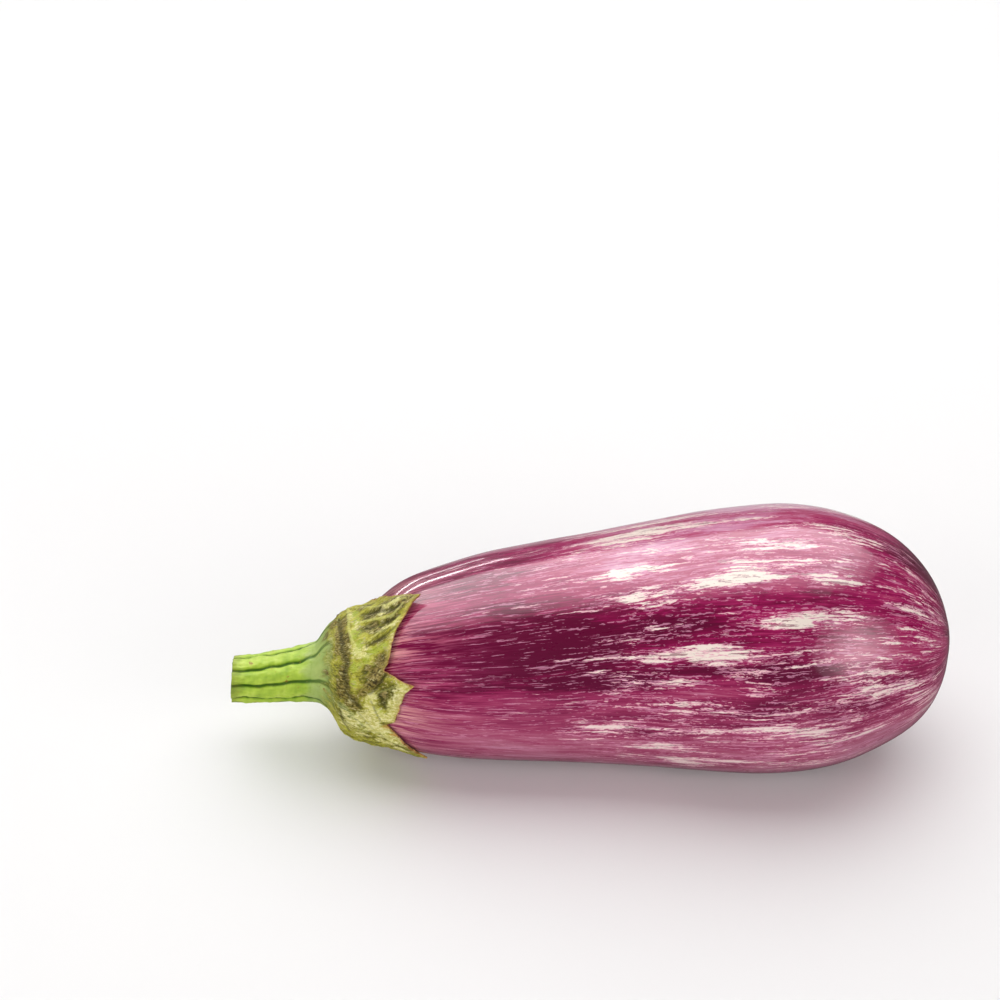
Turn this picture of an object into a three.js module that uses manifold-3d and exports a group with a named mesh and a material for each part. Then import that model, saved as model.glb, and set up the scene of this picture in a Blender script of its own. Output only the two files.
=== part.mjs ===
// Striped eggplant lying on its side: fruit, calyx and cut stem.
// Millimetres, +Z up, +X from the cut stem towards the blossom end.
// Origin: centre of the whole object's footprint, on the surface that it rests on.
import * as THREE from 'three';
import { mergeVertices } from 'three/addons/utils/BufferGeometryUtils.js';
import Module from 'manifold-3d';

// ---------------------------------------------------------------- driving dimensions
const SHIFT = [0.54, 1.26, -1.09];   // moves the stations below to the footprint's centre and the flat spot to z = 0
const GAP = 0.3;                    // clearance between touching pieces
const FRUIT_AROUND = 64;            // facets around the fruit
const FRUIT_ALONG = 40;             // facets along the fruit
const CALYX_AROUND = 96;            // facets around the calyx
const CALYX_ROWS = 7;               // facets from its collar to its margin
const STEM_AROUND = 56;
const STEM_ALONG = 8;
const MARGIN_THICKNESS = 0.75;      // thickness of the calyx at its margin
const GROOVE_DEPTH = 0.9;           // depth of the stem's grooves
const GROOVES = [20, 67, 110, 158, 205, 250, 295, 338];  // where they run, degrees round the stem
const CUT_LEAN = 0.06;              // lean of the cut face

// fruit: place along the length, radius, and height and side of the section's centre
const FRUIT = [
  [-73.40, 0.00, -1.58, 27.80], [-72.55, 6.60, -1.58, 27.80], [-70.95, 10.60, -1.58, 27.80],
  [-68.90, 14.10, -1.57, 27.82], [-66.30, 17.00, -1.55, 27.98], [-63.00, 19.60, -1.53, 28.45],
  [-58.90, 22.15, -1.49, 29.70], [-54.51, 24.40, -1.43, 30.60], [-49.56, 26.17, -1.34, 31.15],
  [-43.73, 27.64, -1.18, 31.69], [-36.74, 29.11, -0.96, 32.42], [-28.58, 30.42, -0.63, 33.22],
  [-19.85, 31.45, -0.02, 33.63], [-10.23, 32.53, 0.81, 34.00], [-0.02, 33.65, 1.41, 34.40],
  [10.16, 34.92, 1.52, 35.25], [20.29, 36.17, 1.08, 36.35], [29.79, 37.40, 0.32, 37.59],
  [38.66, 38.30, -0.56, 38.64], [46.68, 38.85, -1.15, 39.43], [54.15, 38.98, -1.38, 40.00],
  [61.39, 38.45, -1.29, 40.09], [68.67, 37.18, -0.97, 39.94], [75.70, 35.04, -0.48, 39.67],
  [82.47, 32.11, 0.11, 39.33], [88.69, 28.57, 0.60, 38.69], [94.04, 24.18, 0.98, 37.85],
  [98.52, 18.63, 1.27, 37.28], [101.77, 11.57, 1.46, 37.28], [103.59, 0.00, 1.58, 38.03],
];

// calyx: its outside, from the collar round the stem down over the fruit's shoulder
const CALYX = [
  [-80.50, 8.10, -1.78, 27.90], [-79.40, 8.70, -1.77, 28.20], [-78.50, 9.80, -1.76, 28.80],
  [-77.25, 11.20, -1.73, 29.30], [-75.80, 12.80, -1.70, 29.40], [-74.36, 14.50, -1.68, 29.00],
  [-72.94, 16.20, -1.66, 28.40], [-71.50, 17.50, -1.65, 28.00], [-70.00, 18.50, -1.64, 27.90],
  [-68.30, 19.40, -1.62, 27.90], [-66.50, 20.20, -1.60, 28.10], [-64.00, 21.30, -1.57, 28.50],
  [-61.50, 22.40, -1.53, 29.00], [-58.90, 23.50, -1.49, 29.70], [-54.50, 25.65, -1.43, 30.60],
  [-49.56, 27.32, -1.34, 31.15], [-43.73, 28.78, -1.18, 31.69], [-36.70, 30.20, -0.96, 32.40],
];

// calyx margin: angle round the fruit (0 = +Y, 90 = up) and place along the length; tips and notches
const MARGIN = [
  [11.6, -50.8], [23.6, -54.2], [38.6, -58.1], [53.6, -61.0], [58.6, -61.8], [65.6, -60.5],
  [72.6, -59.2], [81.6, -56.8], [92.5, -54.2], [101.0, -49.3], [105.5, -51.4], [113.6, -53.3],
  [121.6, -55.0], [131.6, -56.6], [138.6, -57.5], [146.6, -58.9], [149.6, -57.2], [155.1, -52.9],
  [157.2, -50.1], [162.6, -52.9], [168.6, -54.1], [175.6, -54.9], [184.6, -56.0], [188.6, -58.6],
  [199.6, -54.9], [209.6, -52.3], [223.6, -49.3], [233.6, -47.5], [243.6, -50.8], [253.6, -54.5],
  [268.6, -60.1], [285.6, -56.2], [303.6, -49.8], [315.6, -54.0], [333.6, -58.8], [340.6, -61.5],
  [353.6, -57.5],
];

// stem: place along the length, radius, side and height of its centre, cut end first
const STEM = [
  [-104.27, 6.45, -2.28, 25.55], [-99.59, 6.60, -2.19, 25.77], [-96.08, 6.85, -2.11, 26.02],
  [-92.56, 7.15, -2.04, 26.38], [-89.04, 7.40, -1.97, 26.75], [-85.52, 7.65, -1.90, 27.20],
  [-82.60, 8.00, -1.84, 27.65], [-80.80, 8.15, -1.79, 27.90],
];

// ---------------------------------------------------------------- curves
// natural cubic spline through y(x)
function spline(x, y) {
  const n = x.length, m = new Array(n).fill(0), c = new Array(n).fill(0), d = new Array(n).fill(0);
  for (let i = 1; i < n - 1; i++) {
    const h0 = x[i] - x[i - 1], h1 = x[i + 1] - x[i];
    const b = 2 * (h0 + h1) - h0 * c[i - 1];
    c[i] = h1 / b;
    d[i] = (6 * ((y[i + 1] - y[i]) / h1 - (y[i] - y[i - 1]) / h0) - h0 * d[i - 1]) / b;
  }
  for (let i = n - 2; i > 0; i--) m[i] = d[i] - c[i] * m[i + 1];
  return (q) => {
    let lo = 0, hi = n - 1;
    while (hi - lo > 1) { const k = (lo + hi) >> 1; if (x[k] > q) hi = k; else lo = k; }
    const h = x[hi] - x[lo], a = (x[hi] - q) / h, b = (q - x[lo]) / h;
    return a * y[lo] + b * y[hi] + ((a * a * a - a) * m[lo] + (b * b * b - b) * m[hi]) * h * h / 6;
  };
}

// stations to four splines over the distance along the profile; ends on the axis are mirrored
function profile(stations, mirrored) {
  let s = stations.map((p) => p.slice());
  if (mirrored) {
    const flip = (p) => [p[0], -p[1], p[2], p[3]];
    s = [...s.slice(1, 5).reverse().map(flip), ...s, ...s.slice(-5, -1).reverse().map(flip)];
  }
  const t = [0];
  for (let i = 1; i < s.length; i++) t.push(t[i - 1] + Math.hypot(s[i][0] - s[i - 1][0], s[i][1] - s[i - 1][1]));
  const first = mirrored ? 4 : 0, last = mirrored ? s.length - 5 : s.length - 1;
  const t0 = t[first];
  const at = [0, 1, 2, 3].map((k) => spline(t.map((v) => v - t0), s.map((p) => p[k])));
  return { length: t[last] - t0, at };
}

const fruitProfile = profile(FRUIT, true);
const calyxProfile = profile(CALYX, false);
const stemProfile = profile(STEM, false);
const clamp = (v, a, b) => Math.min(b, Math.max(a, v));

// a point of the fruit's skin at t along the profile and phi round it
function fruitPoint(t, phi) {
  const [X, r, y, z] = fruitProfile.at.map((f) => f(t));
  const w = Math.sqrt(Math.max(0, Math.sin(Math.PI * clamp(t / fruitProfile.length, 0, 1))));
  const rho = r * (1 + w * (0.010 * Math.cos(2 * phi) + 0.006 * Math.cos(3 * phi + 1.1) + 0.004 * Math.cos(5 * phi + 2.0)));
  return new THREE.Vector3(X, y + rho * Math.cos(phi), z + rho * Math.sin(phi));
}

// the skin's outward normal there
function fruitNormal(t, phi) {
  const e = 0.02;
  const u = fruitPoint(t + e, phi).sub(fruitPoint(t - e, phi));
  const v = fruitPoint(t, phi + e).sub(fruitPoint(t, phi - e));
  return v.cross(u).normalize();
}

function marginAt(deg) {
  const a = ((deg % 360) + 360) % 360, n = MARGIN.length;
  for (let i = 0; i < n; i++) {
    const p = MARGIN[i], q = MARGIN[(i + 1) % n];
    const q0 = i === n - 1 ? q[0] + 360 : q[0];
    const b = a < p[0] && i === n - 1 ? a + 360 : a;
    if (b >= p[0] && b <= q0) return p[1] + (q[1] - p[1]) * (b - p[0]) / (q0 - p[0]);
  }
  return MARGIN[0][1];
}

// smallest t at which the profile's X reaches a value
function whereX(prof, X) {
  let lo = 0, hi = prof.length;
  for (let i = 0; i < 60; i++) { const mid = (lo + hi) / 2; if (prof.at[0](mid) < X) lo = mid; else hi = mid; }
  return (lo + hi) / 2;
}

// ---------------------------------------------------------------- closed meshes from rings of points
// rings: arrays of equal length that run round the axis; start and end are single points
function closedFromRings(start, rings, end) {
  const n = rings[0].length, pos = [];
  const add = (p) => { pos.push(p.x + SHIFT[0], p.y + SHIFT[1], p.z + SHIFT[2]); return pos.length / 3 - 1; };
  const a = add(start), ids = rings.map((r) => r.map(add)), b = add(end), idx = [];
  for (let j = 0; j < n; j++) {
    const k = (j + 1) % n;
    idx.push(a, ids[0][k], ids[0][j]);
    for (let i = 0; i + 1 < ids.length; i++) {
      idx.push(ids[i][j], ids[i][k], ids[i + 1][k], ids[i][j], ids[i + 1][k], ids[i + 1][j]);
    }
    idx.push(b, ids[ids.length - 1][j], ids[ids.length - 1][k]);
  }
  const g = new THREE.BufferGeometry();
  g.setAttribute('position', new THREE.Float32BufferAttribute(pos, 3));
  g.setIndex(idx);
  return g;
}

function signedVolume(g) {
  const p = g.getAttribute('position'), x = g.getIndex();
  const a = new THREE.Vector3(), b = new THREE.Vector3(), c = new THREE.Vector3();
  let v = 0;
  for (let i = 0; i < x.count; i += 3) {
    a.fromBufferAttribute(p, x.getX(i)); b.fromBufferAttribute(p, x.getX(i + 1)); c.fromBufferAttribute(p, x.getX(i + 2));
    v += a.dot(b.cross(c)) / 6;
  }
  return v;
}

// faces point out
function outward(g) {
  if (signedVolume(g) < 0) {
    const a = g.getIndex().array;
    for (let i = 0; i < a.length; i += 3) { const s = a[i + 1]; a[i + 1] = a[i + 2]; a[i + 2] = s; }
  }
  return g;
}

const ringAt = (n, f) => Array.from({ length: n }, (_, j) => f(2 * Math.PI * j / n));

// ---------------------------------------------------------------- fruit, with its flat resting spot
const wasm = await Module();
wasm.setup();

function toSolid(geometry) {
  let g = geometry.clone();
  for (const name of Object.keys(g.attributes)) if (name !== 'position') g.deleteAttribute(name);
  g = mergeVertices(g, 1e-4);
  return new wasm.Manifold(new wasm.Mesh({
    numProp: 3,
    vertProperties: new Float32Array(g.getAttribute('position').array),
    triVerts: new Uint32Array(g.getIndex().array),
  }));
}

function toGeometry(solid) {
  const m = solid.getMesh(), g = new THREE.BufferGeometry(), p = new Float32Array(m.numVert * 3);
  for (let i = 0; i < m.numVert; i++) for (let k = 0; k < 3; k++) p[3 * i + k] = m.vertProperties[m.numProp * i + k];
  g.setAttribute('position', new THREE.BufferAttribute(p, 3));
  g.setIndex(new THREE.BufferAttribute(new Uint32Array(m.triVerts), 1));
  return g;
}

function fruitGeometry() {
  const L = fruitProfile.length, rings = [];
  for (let i = 1; i < FRUIT_ALONG; i++) {
    const u = i / FRUIT_ALONG, t = L * (u - 0.05 * Math.sin(2 * Math.PI * u));
    rings.push(ringAt(FRUIT_AROUND, (phi) => fruitPoint(t, phi)));
  }
  const body = outward(closedFromRings(fruitPoint(0, 0), rings, fruitPoint(L, 0)));
  const below = new THREE.BoxGeometry(260, 120, 40);
  below.translate(0, 0, -20);
  return toGeometry(toSolid(body).subtract(toSolid(below)));
}

// ---------------------------------------------------------------- calyx, one cup with five pointed lobes
function calyxGeometry() {
  const columns = ringAt(CALYX_AROUND, (phi) => {
    const Xm = marginAt(phi * 180 / Math.PI);
    const so = whereX(calyxProfile, Xm), ti = whereX(fruitProfile, Xm);
    const outer = [], inner = [];
    for (let i = 0; i <= CALYX_ROWS; i++) {
      const s = so * Math.pow(i / CALYX_ROWS, 0.9);
      const [X, r, y, z] = calyxProfile.at.map((f) => f(s));
      outer.push(new THREE.Vector3(X, y + r * Math.cos(phi), z + r * Math.sin(phi)));
    }
    const edge = fruitPoint(ti, phi), n = fruitNormal(ti, phi);
    outer[CALYX_ROWS] = edge.clone().addScaledVector(n, GAP + MARGIN_THICKNESS);
    for (let i = 0; i < CALYX_ROWS; i++) {
      const t = ti * (1 - i / CALYX_ROWS);
      inner.push(fruitPoint(t, phi).addScaledVector(fruitNormal(t, phi), GAP));
    }
    return [...outer, ...inner];
  });
  const rings = columns[0].map((_, i) => columns.map((c) => c[i]));
  const hub = new THREE.Vector3(CALYX[0][0], CALYX[0][2], CALYX[0][3]);
  const seat = fruitPoint(0, 0);
  seat.x -= GAP;
  return outward(closedFromRings(hub, rings, seat));
}

// ---------------------------------------------------------------- stem, ribbed, cut square at its far end
function stemGeometry() {
  const L = stemProfile.length, rings = [];
  for (let i = 0; i <= STEM_ALONG; i++) {
    const s = L * i / STEM_ALONG;
    const [X, r, y, z] = stemProfile.at.map((f) => f(s));
    const lean = CUT_LEAN * (1 - i / STEM_ALONG), fade = 1 - 0.75 * Math.pow(i / STEM_ALONG, 3);
    rings.push(ringAt(STEM_AROUND, (phi) => {
      const psi = phi * 180 / Math.PI - 53.6;
      let groove = 0;
      for (const g of GROOVES) {
        const d = ((psi - g + 540) % 360 + 360) % 360 - 180;
        groove += Math.exp(-d * d / 72);
      }
      const rho = r - GROOVE_DEPTH * fade * groove + 0.25;
      return new THREE.Vector3(X + lean * rho * Math.sin(phi), y + rho * Math.cos(phi), z + rho * Math.sin(phi));
    }));
  }
  const a = new THREE.Vector3(STEM[0][0], STEM[0][2], STEM[0][3]);
  const e = STEM[STEM.length - 1], b = new THREE.Vector3(e[0], e[2], e[3]);
  return outward(closedFromRings(a, rings, b));
}

// ---------------------------------------------------------------- the object
function piece(name, geometry, colour, roughness) {
  const mesh = new THREE.Mesh(geometry, new THREE.MeshStandardMaterial({ color: colour, roughness, metalness: 0 }));
  mesh.name = name;
  return mesh;
}

const eggplant = new THREE.Group();
eggplant.add(
  piece('fruit', fruitGeometry(), 0x8a2f60, 0.25),
  piece('calyx', calyxGeometry(), 0x93a44c, 0.7),
  piece('stem', stemGeometry(), 0x9ab848, 0.65),
);

export default eggplant;
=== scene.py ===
import math

import bpy
import numpy as np
from mathutils import Matrix, Vector


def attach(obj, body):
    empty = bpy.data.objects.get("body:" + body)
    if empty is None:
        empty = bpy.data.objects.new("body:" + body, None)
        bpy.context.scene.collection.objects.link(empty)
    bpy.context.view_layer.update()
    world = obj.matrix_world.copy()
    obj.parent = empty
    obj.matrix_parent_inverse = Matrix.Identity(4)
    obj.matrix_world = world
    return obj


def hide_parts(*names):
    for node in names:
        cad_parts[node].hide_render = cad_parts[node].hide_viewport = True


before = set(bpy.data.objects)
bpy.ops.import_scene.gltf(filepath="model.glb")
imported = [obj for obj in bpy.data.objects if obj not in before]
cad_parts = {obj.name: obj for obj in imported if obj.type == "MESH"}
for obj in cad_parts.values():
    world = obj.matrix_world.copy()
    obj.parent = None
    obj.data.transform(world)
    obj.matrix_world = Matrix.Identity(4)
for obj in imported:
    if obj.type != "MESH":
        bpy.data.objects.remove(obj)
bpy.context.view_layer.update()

# ---------------------------------------------------------------- the fruit's form, in millimetres
SHIFT = np.array([0.54, 1.26, -1.09])
FRUIT = np.array([
    [-73.40, 0.00, -1.58, 27.80], [-72.55, 6.60, -1.58, 27.80], [-70.95, 10.60, -1.58, 27.80],
    [-68.90, 14.10, -1.57, 27.82], [-66.30, 17.00, -1.55, 27.98], [-63.00, 19.60, -1.53, 28.45],
    [-58.90, 22.15, -1.49, 29.70], [-54.51, 24.40, -1.43, 30.60], [-49.56, 26.17, -1.34, 31.15],
    [-43.73, 27.64, -1.18, 31.69], [-36.74, 29.11, -0.96, 32.42], [-28.58, 30.42, -0.63, 33.22],
    [-19.85, 31.45, -0.02, 33.63], [-10.23, 32.53, 0.81, 34.00], [-0.02, 33.65, 1.41, 34.40],
    [10.16, 34.92, 1.52, 35.25], [20.29, 36.17, 1.08, 36.35], [29.79, 37.40, 0.32, 37.59],
    [38.66, 38.30, -0.56, 38.64], [46.68, 38.85, -1.15, 39.43], [54.15, 38.98, -1.38, 40.00],
    [61.39, 38.45, -1.29, 40.09], [68.67, 37.18, -0.97, 39.94], [75.70, 35.04, -0.48, 39.67],
    [82.47, 32.11, 0.11, 39.33], [88.69, 28.57, 0.60, 38.69], [94.04, 24.18, 0.98, 37.85],
    [98.52, 18.63, 1.27, 37.28], [101.77, 11.57, 1.46, 37.28], [103.59, 0.00, 1.58, 38.03],
])
CALYX = np.array([
    [-81.30, 8.06, -1.80, 27.84], [-80.50, 8.22, -1.78, 27.90], [-79.40, 8.70, -1.77, 28.20], [-78.50, 9.80, -1.76, 28.80],
    [-77.25, 11.20, -1.73, 29.30], [-75.80, 12.80, -1.70, 29.40], [-74.36, 14.50, -1.68, 29.00],
    [-72.94, 16.20, -1.66, 28.40], [-71.50, 17.50, -1.65, 28.00], [-70.00, 18.50, -1.64, 27.90],
    [-68.30, 19.40, -1.62, 27.90], [-66.50, 20.20, -1.60, 28.10], [-64.00, 21.30, -1.57, 28.50],
    [-61.50, 22.40, -1.53, 29.00], [-58.90, 23.50, -1.49, 29.70], [-54.50, 25.65, -1.43, 30.60],
    [-49.56, 27.32, -1.34, 31.15], [-43.73, 28.78, -1.18, 31.69], [-36.70, 30.20, -0.96, 32.40],
])
# calyx margin: angle round the fruit in degrees, place along X
MARGIN = np.array([
    [8.6, -51.2], [20.6, -56.2], [34.6, -61.8], [48.0, -64.2], [58.6, -64.4], [68.0, -63.2],
    [76.0, -61.2], [84.0, -59.0], [90.0, -56.8], [95.5, -53.8], [99.5, -50.8], [102.8, -48.2], [106.5, -50.7], [113.6, -53.0],
    [121.6, -55.0], [131.6, -56.6], [138.6, -57.5], [146.6, -58.9], [149.6, -57.2], [155.1, -52.9],
    [157.2, -50.1], [162.6, -52.9], [168.6, -54.1], [175.6, -54.9], [184.6, -56.0], [188.6, -58.6],
    [199.6, -54.9], [209.6, -52.3], [223.6, -49.3], [233.6, -47.5], [243.6, -50.8], [253.6, -54.5],
    [268.6, -60.1], [285.6, -56.2], [303.6, -49.8], [315.6, -54.0], [333.6, -58.8], [340.6, -61.5],
    [353.6, -57.5],
])
STEM = np.array([
    [-104.27, 6.45, -2.28, 25.55], [-99.59, 6.60, -2.19, 25.77], [-96.08, 6.85, -2.11, 26.02],
    [-92.56, 7.15, -2.04, 26.38], [-89.04, 7.40, -1.97, 26.75], [-85.52, 7.65, -1.90, 27.20],
    [-82.60, 8.00, -1.84, 27.65], [-80.80, 8.15, -1.79, 27.90],
])
TIPS = (102.8, 157.2, 233.6, 303.6, 371.6)      # angle of each lobe's tip
NOTCHES = (58.6, 146.6, 188.6, 268.6, 340.6)    # angle of each notch between lobes


def spline(x, y):
    """Natural cubic spline, as the CAD model uses."""
    n = len(x)
    a = np.zeros((n, n))
    b = np.zeros(n)
    a[0, 0] = a[-1, -1] = 1.0
    h = np.diff(x)
    for i in range(1, n - 1):
        a[i, i - 1:i + 2] = h[i - 1], 2 * (h[i - 1] + h[i]), h[i]
        b[i] = 6 * ((y[i + 1] - y[i]) / h[i] - (y[i] - y[i - 1]) / h[i - 1])
    m = np.linalg.solve(a, b)

    def f(q):
        q = np.asarray(q, float)
        k = np.clip(np.searchsorted(x, q) - 1, 0, n - 2)
        hh = x[k + 1] - x[k]
        u, w = (x[k + 1] - q) / hh, (q - x[k]) / hh
        return u * y[k] + w * y[k + 1] + ((u ** 3 - u) * m[k] + (w ** 3 - w) * m[k + 1]) * hh * hh / 6
    return f


class Profile:
    def __init__(self, st, mirrored=False):
        first, last = 0, len(st) - 1
        if mirrored:
            flip = np.array([1, -1, 1, 1])
            st = np.vstack([st[1:5][::-1] * flip, st, st[-5:-1][::-1] * flip])
            first, last = 4, len(st) - 5
        t = np.concatenate([[0], np.cumsum(np.hypot(np.diff(st[:, 0]), np.diff(st[:, 1])))])
        t -= t[first]
        self.length = t[last]
        self.f = [spline(t, st[:, k]) for k in range(4)]

    def __call__(self, t):
        return [f(t) for f in self.f]

    def where(self, X):
        """Smallest distance along the profile at which it reaches X."""
        X = np.asarray(X, float)
        lo, hi = np.zeros_like(X), np.full_like(X, self.length)
        for _ in range(45):
            mid = (lo + hi) / 2
            below = self.f[0](mid) < X
            lo, hi = np.where(below, mid, lo), np.where(below, hi, mid)
        return (lo + hi) / 2


fruit_p, calyx_p, stem_p = Profile(FRUIT, True), Profile(CALYX), Profile(STEM)
L = fruit_p.length


def fruit_point(t, phi):
    X, r, y, z = fruit_p(t)
    w = np.sqrt(np.clip(np.sin(np.pi * np.clip(t / L, 0, 1)), 0, None))
    rho = r * (1 + w * (0.010 * np.cos(2 * phi) + 0.006 * np.cos(3 * phi + 1.1) + 0.004 * np.cos(5 * phi + 2.0)))
    return np.stack([X + 0 * phi, y + rho * np.cos(phi), z + rho * np.sin(phi)], -1) + SHIFT


def fruit_normal(t, phi):
    e = 0.02
    u = fruit_point(t + e, phi) - fruit_point(t - e, phi)
    v = fruit_point(t, phi + e) - fruit_point(t, phi - e)
    n = np.cross(v, u)
    return n / np.linalg.norm(n, axis=-1, keepdims=True)


def unit(v):
    return v / np.linalg.norm(v, axis=-1, keepdims=True)


def smooth(x, a, b):
    q = np.clip((x - a) / (b - a), 0, 1)
    return q * q * (3 - 2 * q)


def wrap(d):
    return (d + 180) % 360 - 180


# ---------------------------------------------------------------- seeded gradient noise
_rng = np.random.RandomState(7)
_perm = np.concatenate([_rng.permutation(256)] * 3)
_grad = unit(_rng.normal(size=(256, 3)))


def noise(p, seed=0):
    """Gradient noise at points p (..., 3), about -1 to 1."""
    p = np.asarray(p, float) + seed * 17.31
    i = np.floor(p).astype(int)
    f = p - i
    w = f * f * f * (f * (f * 6 - 15) + 10)
    i &= 255
    out = 0.0
    for dx in (0, 1):
        for dy in (0, 1):
            for dz in (0, 1):
                g = _grad[_perm[_perm[_perm[(i[..., 0] + dx) & 255] + ((i[..., 1] + dy) & 255)] + ((i[..., 2] + dz) & 255)]]
                d = f - np.array([dx, dy, dz])
                k = ((w[..., 0] if dx else 1 - w[..., 0]) * (w[..., 1] if dy else 1 - w[..., 1])
                     * (w[..., 2] if dz else 1 - w[..., 2]))
                out = out + k * np.sum(g * d, -1)
    return out * 1.6


def fbm(p, octaves=3, seed=0, gain=0.5):
    out, a, s = 0.0, 1.0, 1.0
    for k in range(octaves):
        out = out + a * noise(np.asarray(p) * s, seed + k * 3)
        a *= gain
        s *= 2.03
    return out


def drum(phi, s, r0):
    """Seamless coordinates on a drum: across, across, along (mm)."""
    return np.stack([r0 * np.cos(phi), r0 * np.sin(phi), s + 0 * phi], -1)


# ---------------------------------------------------------------- camera, as the photograph was taken
PITCH = math.radians(33.0)
LENS = 85.0
EYE = np.array([-25.716, -551.108, 444.052])
F_PX = LENS / 36.0 * 1000.0
AX_R = np.array([1.0, 0, 0])
AX_F = np.array([0, math.cos(PITCH), -math.sin(PITCH)])
AX_U = np.array([0, math.sin(PITCH), math.cos(PITCH)])


def pixel(p):
    """Where a point shows in the 1000 by 1000 frame."""
    d = p - EYE
    z = d @ AX_F
    return 500 + F_PX * (d @ AX_R) / z, 500 - F_PX * (d @ AX_U) / z


def make_camera():
    cam = bpy.data.cameras.new("camera")
    cam.lens = LENS
    cam.sensor_width = 36.0
    cam.sensor_fit = "HORIZONTAL"
    cam.clip_start, cam.clip_end = 0.01, 50.0
    ob = bpy.data.objects.new("camera", cam)
    ob.location = EYE / 1000.0
    ob.rotation_euler = (math.pi / 2 - PITCH, 0, 0)
    bpy.context.scene.collection.objects.link(ob)
    bpy.context.scene.camera = ob


make_camera()


# ---------------------------------------------------------------- mesh helpers
def rgb(h, alpha=1.0):
    """sRGB hex to linear."""
    c = [int(h[i:i + 2], 16) / 255 for i in (0, 2, 4)]
    return tuple(v / 12.92 if v <= 0.04045 else ((v + 0.055) / 1.055) ** 2.4 for v in c) + (alpha,)


def grid_mesh(name, rows, start=None, end=None, uv=None, attrs=None):
    """A closed tube of rings: rows is (rings, columns, 3) in mm; start and end are single points.
    attrs: name -> (rings, columns[, 3]); uv: (rings, 2 ends) v coordinate of each ring."""
    nr, nc = rows.shape[:2]
    co = rows.reshape(-1, 3)
    j = np.arange(nc)
    k = (j + 1) % nc
    faces, fuv = [], []
    vv = uv if uv is not None else np.linspace(0.02, 0.98, nr)
    u0, u1 = j / nc, (j + 1) / nc
    for i in range(nr - 1):
        a, b = i * nc, (i + 1) * nc
        faces.append(np.stack([a + j, b + j, b + k, a + k], -1))
        fuv.append(np.stack([np.stack([u0, 0 * u0 + vv[i]], -1), np.stack([u0, 0 * u0 + vv[i + 1]], -1),
                             np.stack([u1, 0 * u1 + vv[i + 1]], -1), np.stack([u1, 0 * u1 + vv[i]], -1)], 1))
    quads = np.concatenate(faces)
    quv = np.concatenate(fuv)
    tris, tuv = [], []
    n = nr * nc
    extra = []
    if start is not None:
        tris.append(np.stack([0 * j + n, j, k], -1))
        tuv.append(np.stack([np.stack([(u0 + u1) / 2, 0 * u0 + max(vv[0] - 0.02, 0)], -1), np.stack([u0, 0 * u0 + vv[0]], -1),
                             np.stack([u1, 0 * u1 + vv[0]], -1)], 1))
        extra.append(start)
        n += 1
    if end is not None:
        a = (nr - 1) * nc
        tris.append(np.stack([0 * j + n, a + k, a + j], -1))
        tuv.append(np.stack([np.stack([(u0 + u1) / 2, 0 * u0 + min(vv[-1] + 0.02, 1)], -1), np.stack([u1, 0 * u1 + vv[-1]], -1),
                             np.stack([u0, 0 * u0 + vv[-1]], -1)], 1))
        extra.append(end)
        n += 1
    if extra:
        co = np.vstack([co, np.array(extra)])
    tri = np.concatenate(tris) if tris else np.zeros((0, 3), int)
    loops = np.concatenate([quads.ravel(), tri.ravel()])
    starts = np.concatenate([np.arange(len(quads)) * 4, len(quads) * 4 + np.arange(len(tri)) * 3])
    totals = np.concatenate([np.full(len(quads), 4), np.full(len(tri), 3)])
    me = bpy.data.meshes.new(name)
    me.vertices.add(len(co))
    me.vertices.foreach_set("co", (co / 1000.0).astype(np.float32).ravel())
    me.loops.add(len(loops))
    me.loops.foreach_set("vertex_index", loops.astype(np.int32))
    me.polygons.add(len(starts))
    me.polygons.foreach_set("loop_start", starts.astype(np.int32))
    me.polygons.foreach_set("loop_total", totals.astype(np.int32))
    me.update(calc_edges=True)
    layer = me.uv_layers.new(name="OFBake")
    flat = np.concatenate([quv.reshape(-1, 2)] + [x.reshape(-1, 2) for x in tuv])
    layer.data.foreach_set("uv", flat.astype(np.float32).ravel())
    for key, val in (attrs or {}).items():
        val = np.asarray(val, float)
        if val.ndim == 3:
            body = val.reshape(-1, 3)
            ends = []
            if start is not None:
                ends.append(val[0].mean(0))
            if end is not None:
                ends.append(val[-1].mean(0))
            data = np.vstack([body] + [e[None] for e in ends])
            at = me.attributes.new(key, "FLOAT_VECTOR", "POINT")
            at.data.foreach_set("vector", data.astype(np.float32).ravel())
        else:
            body = val.reshape(-1)
            ends = []
            if start is not None:
                ends.append(val[0].mean())
            if end is not None:
                ends.append(val[-1].mean())
            data = np.concatenate([body, ends])
            at = me.attributes.new(key, "FLOAT", "POINT")
            at.data.foreach_set("value", data.astype(np.float32))
    me.validate()
    # outward faces
    me.calc_loop_triangles()
    idx = np.zeros(len(me.loop_triangles) * 3, np.int32)
    me.loop_triangles.foreach_get("vertices", idx)
    p = co[idx.reshape(-1, 3)]
    if np.sum(p[:, 0] * np.cross(p[:, 1], p[:, 2])) < 0:
        me.flip_normals()
    me.polygons.foreach_set("use_smooth", np.ones(len(me.polygons), bool))
    ob = bpy.data.objects.new(name, me)
    bpy.context.scene.collection.objects.link(ob)
    return ob


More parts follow.
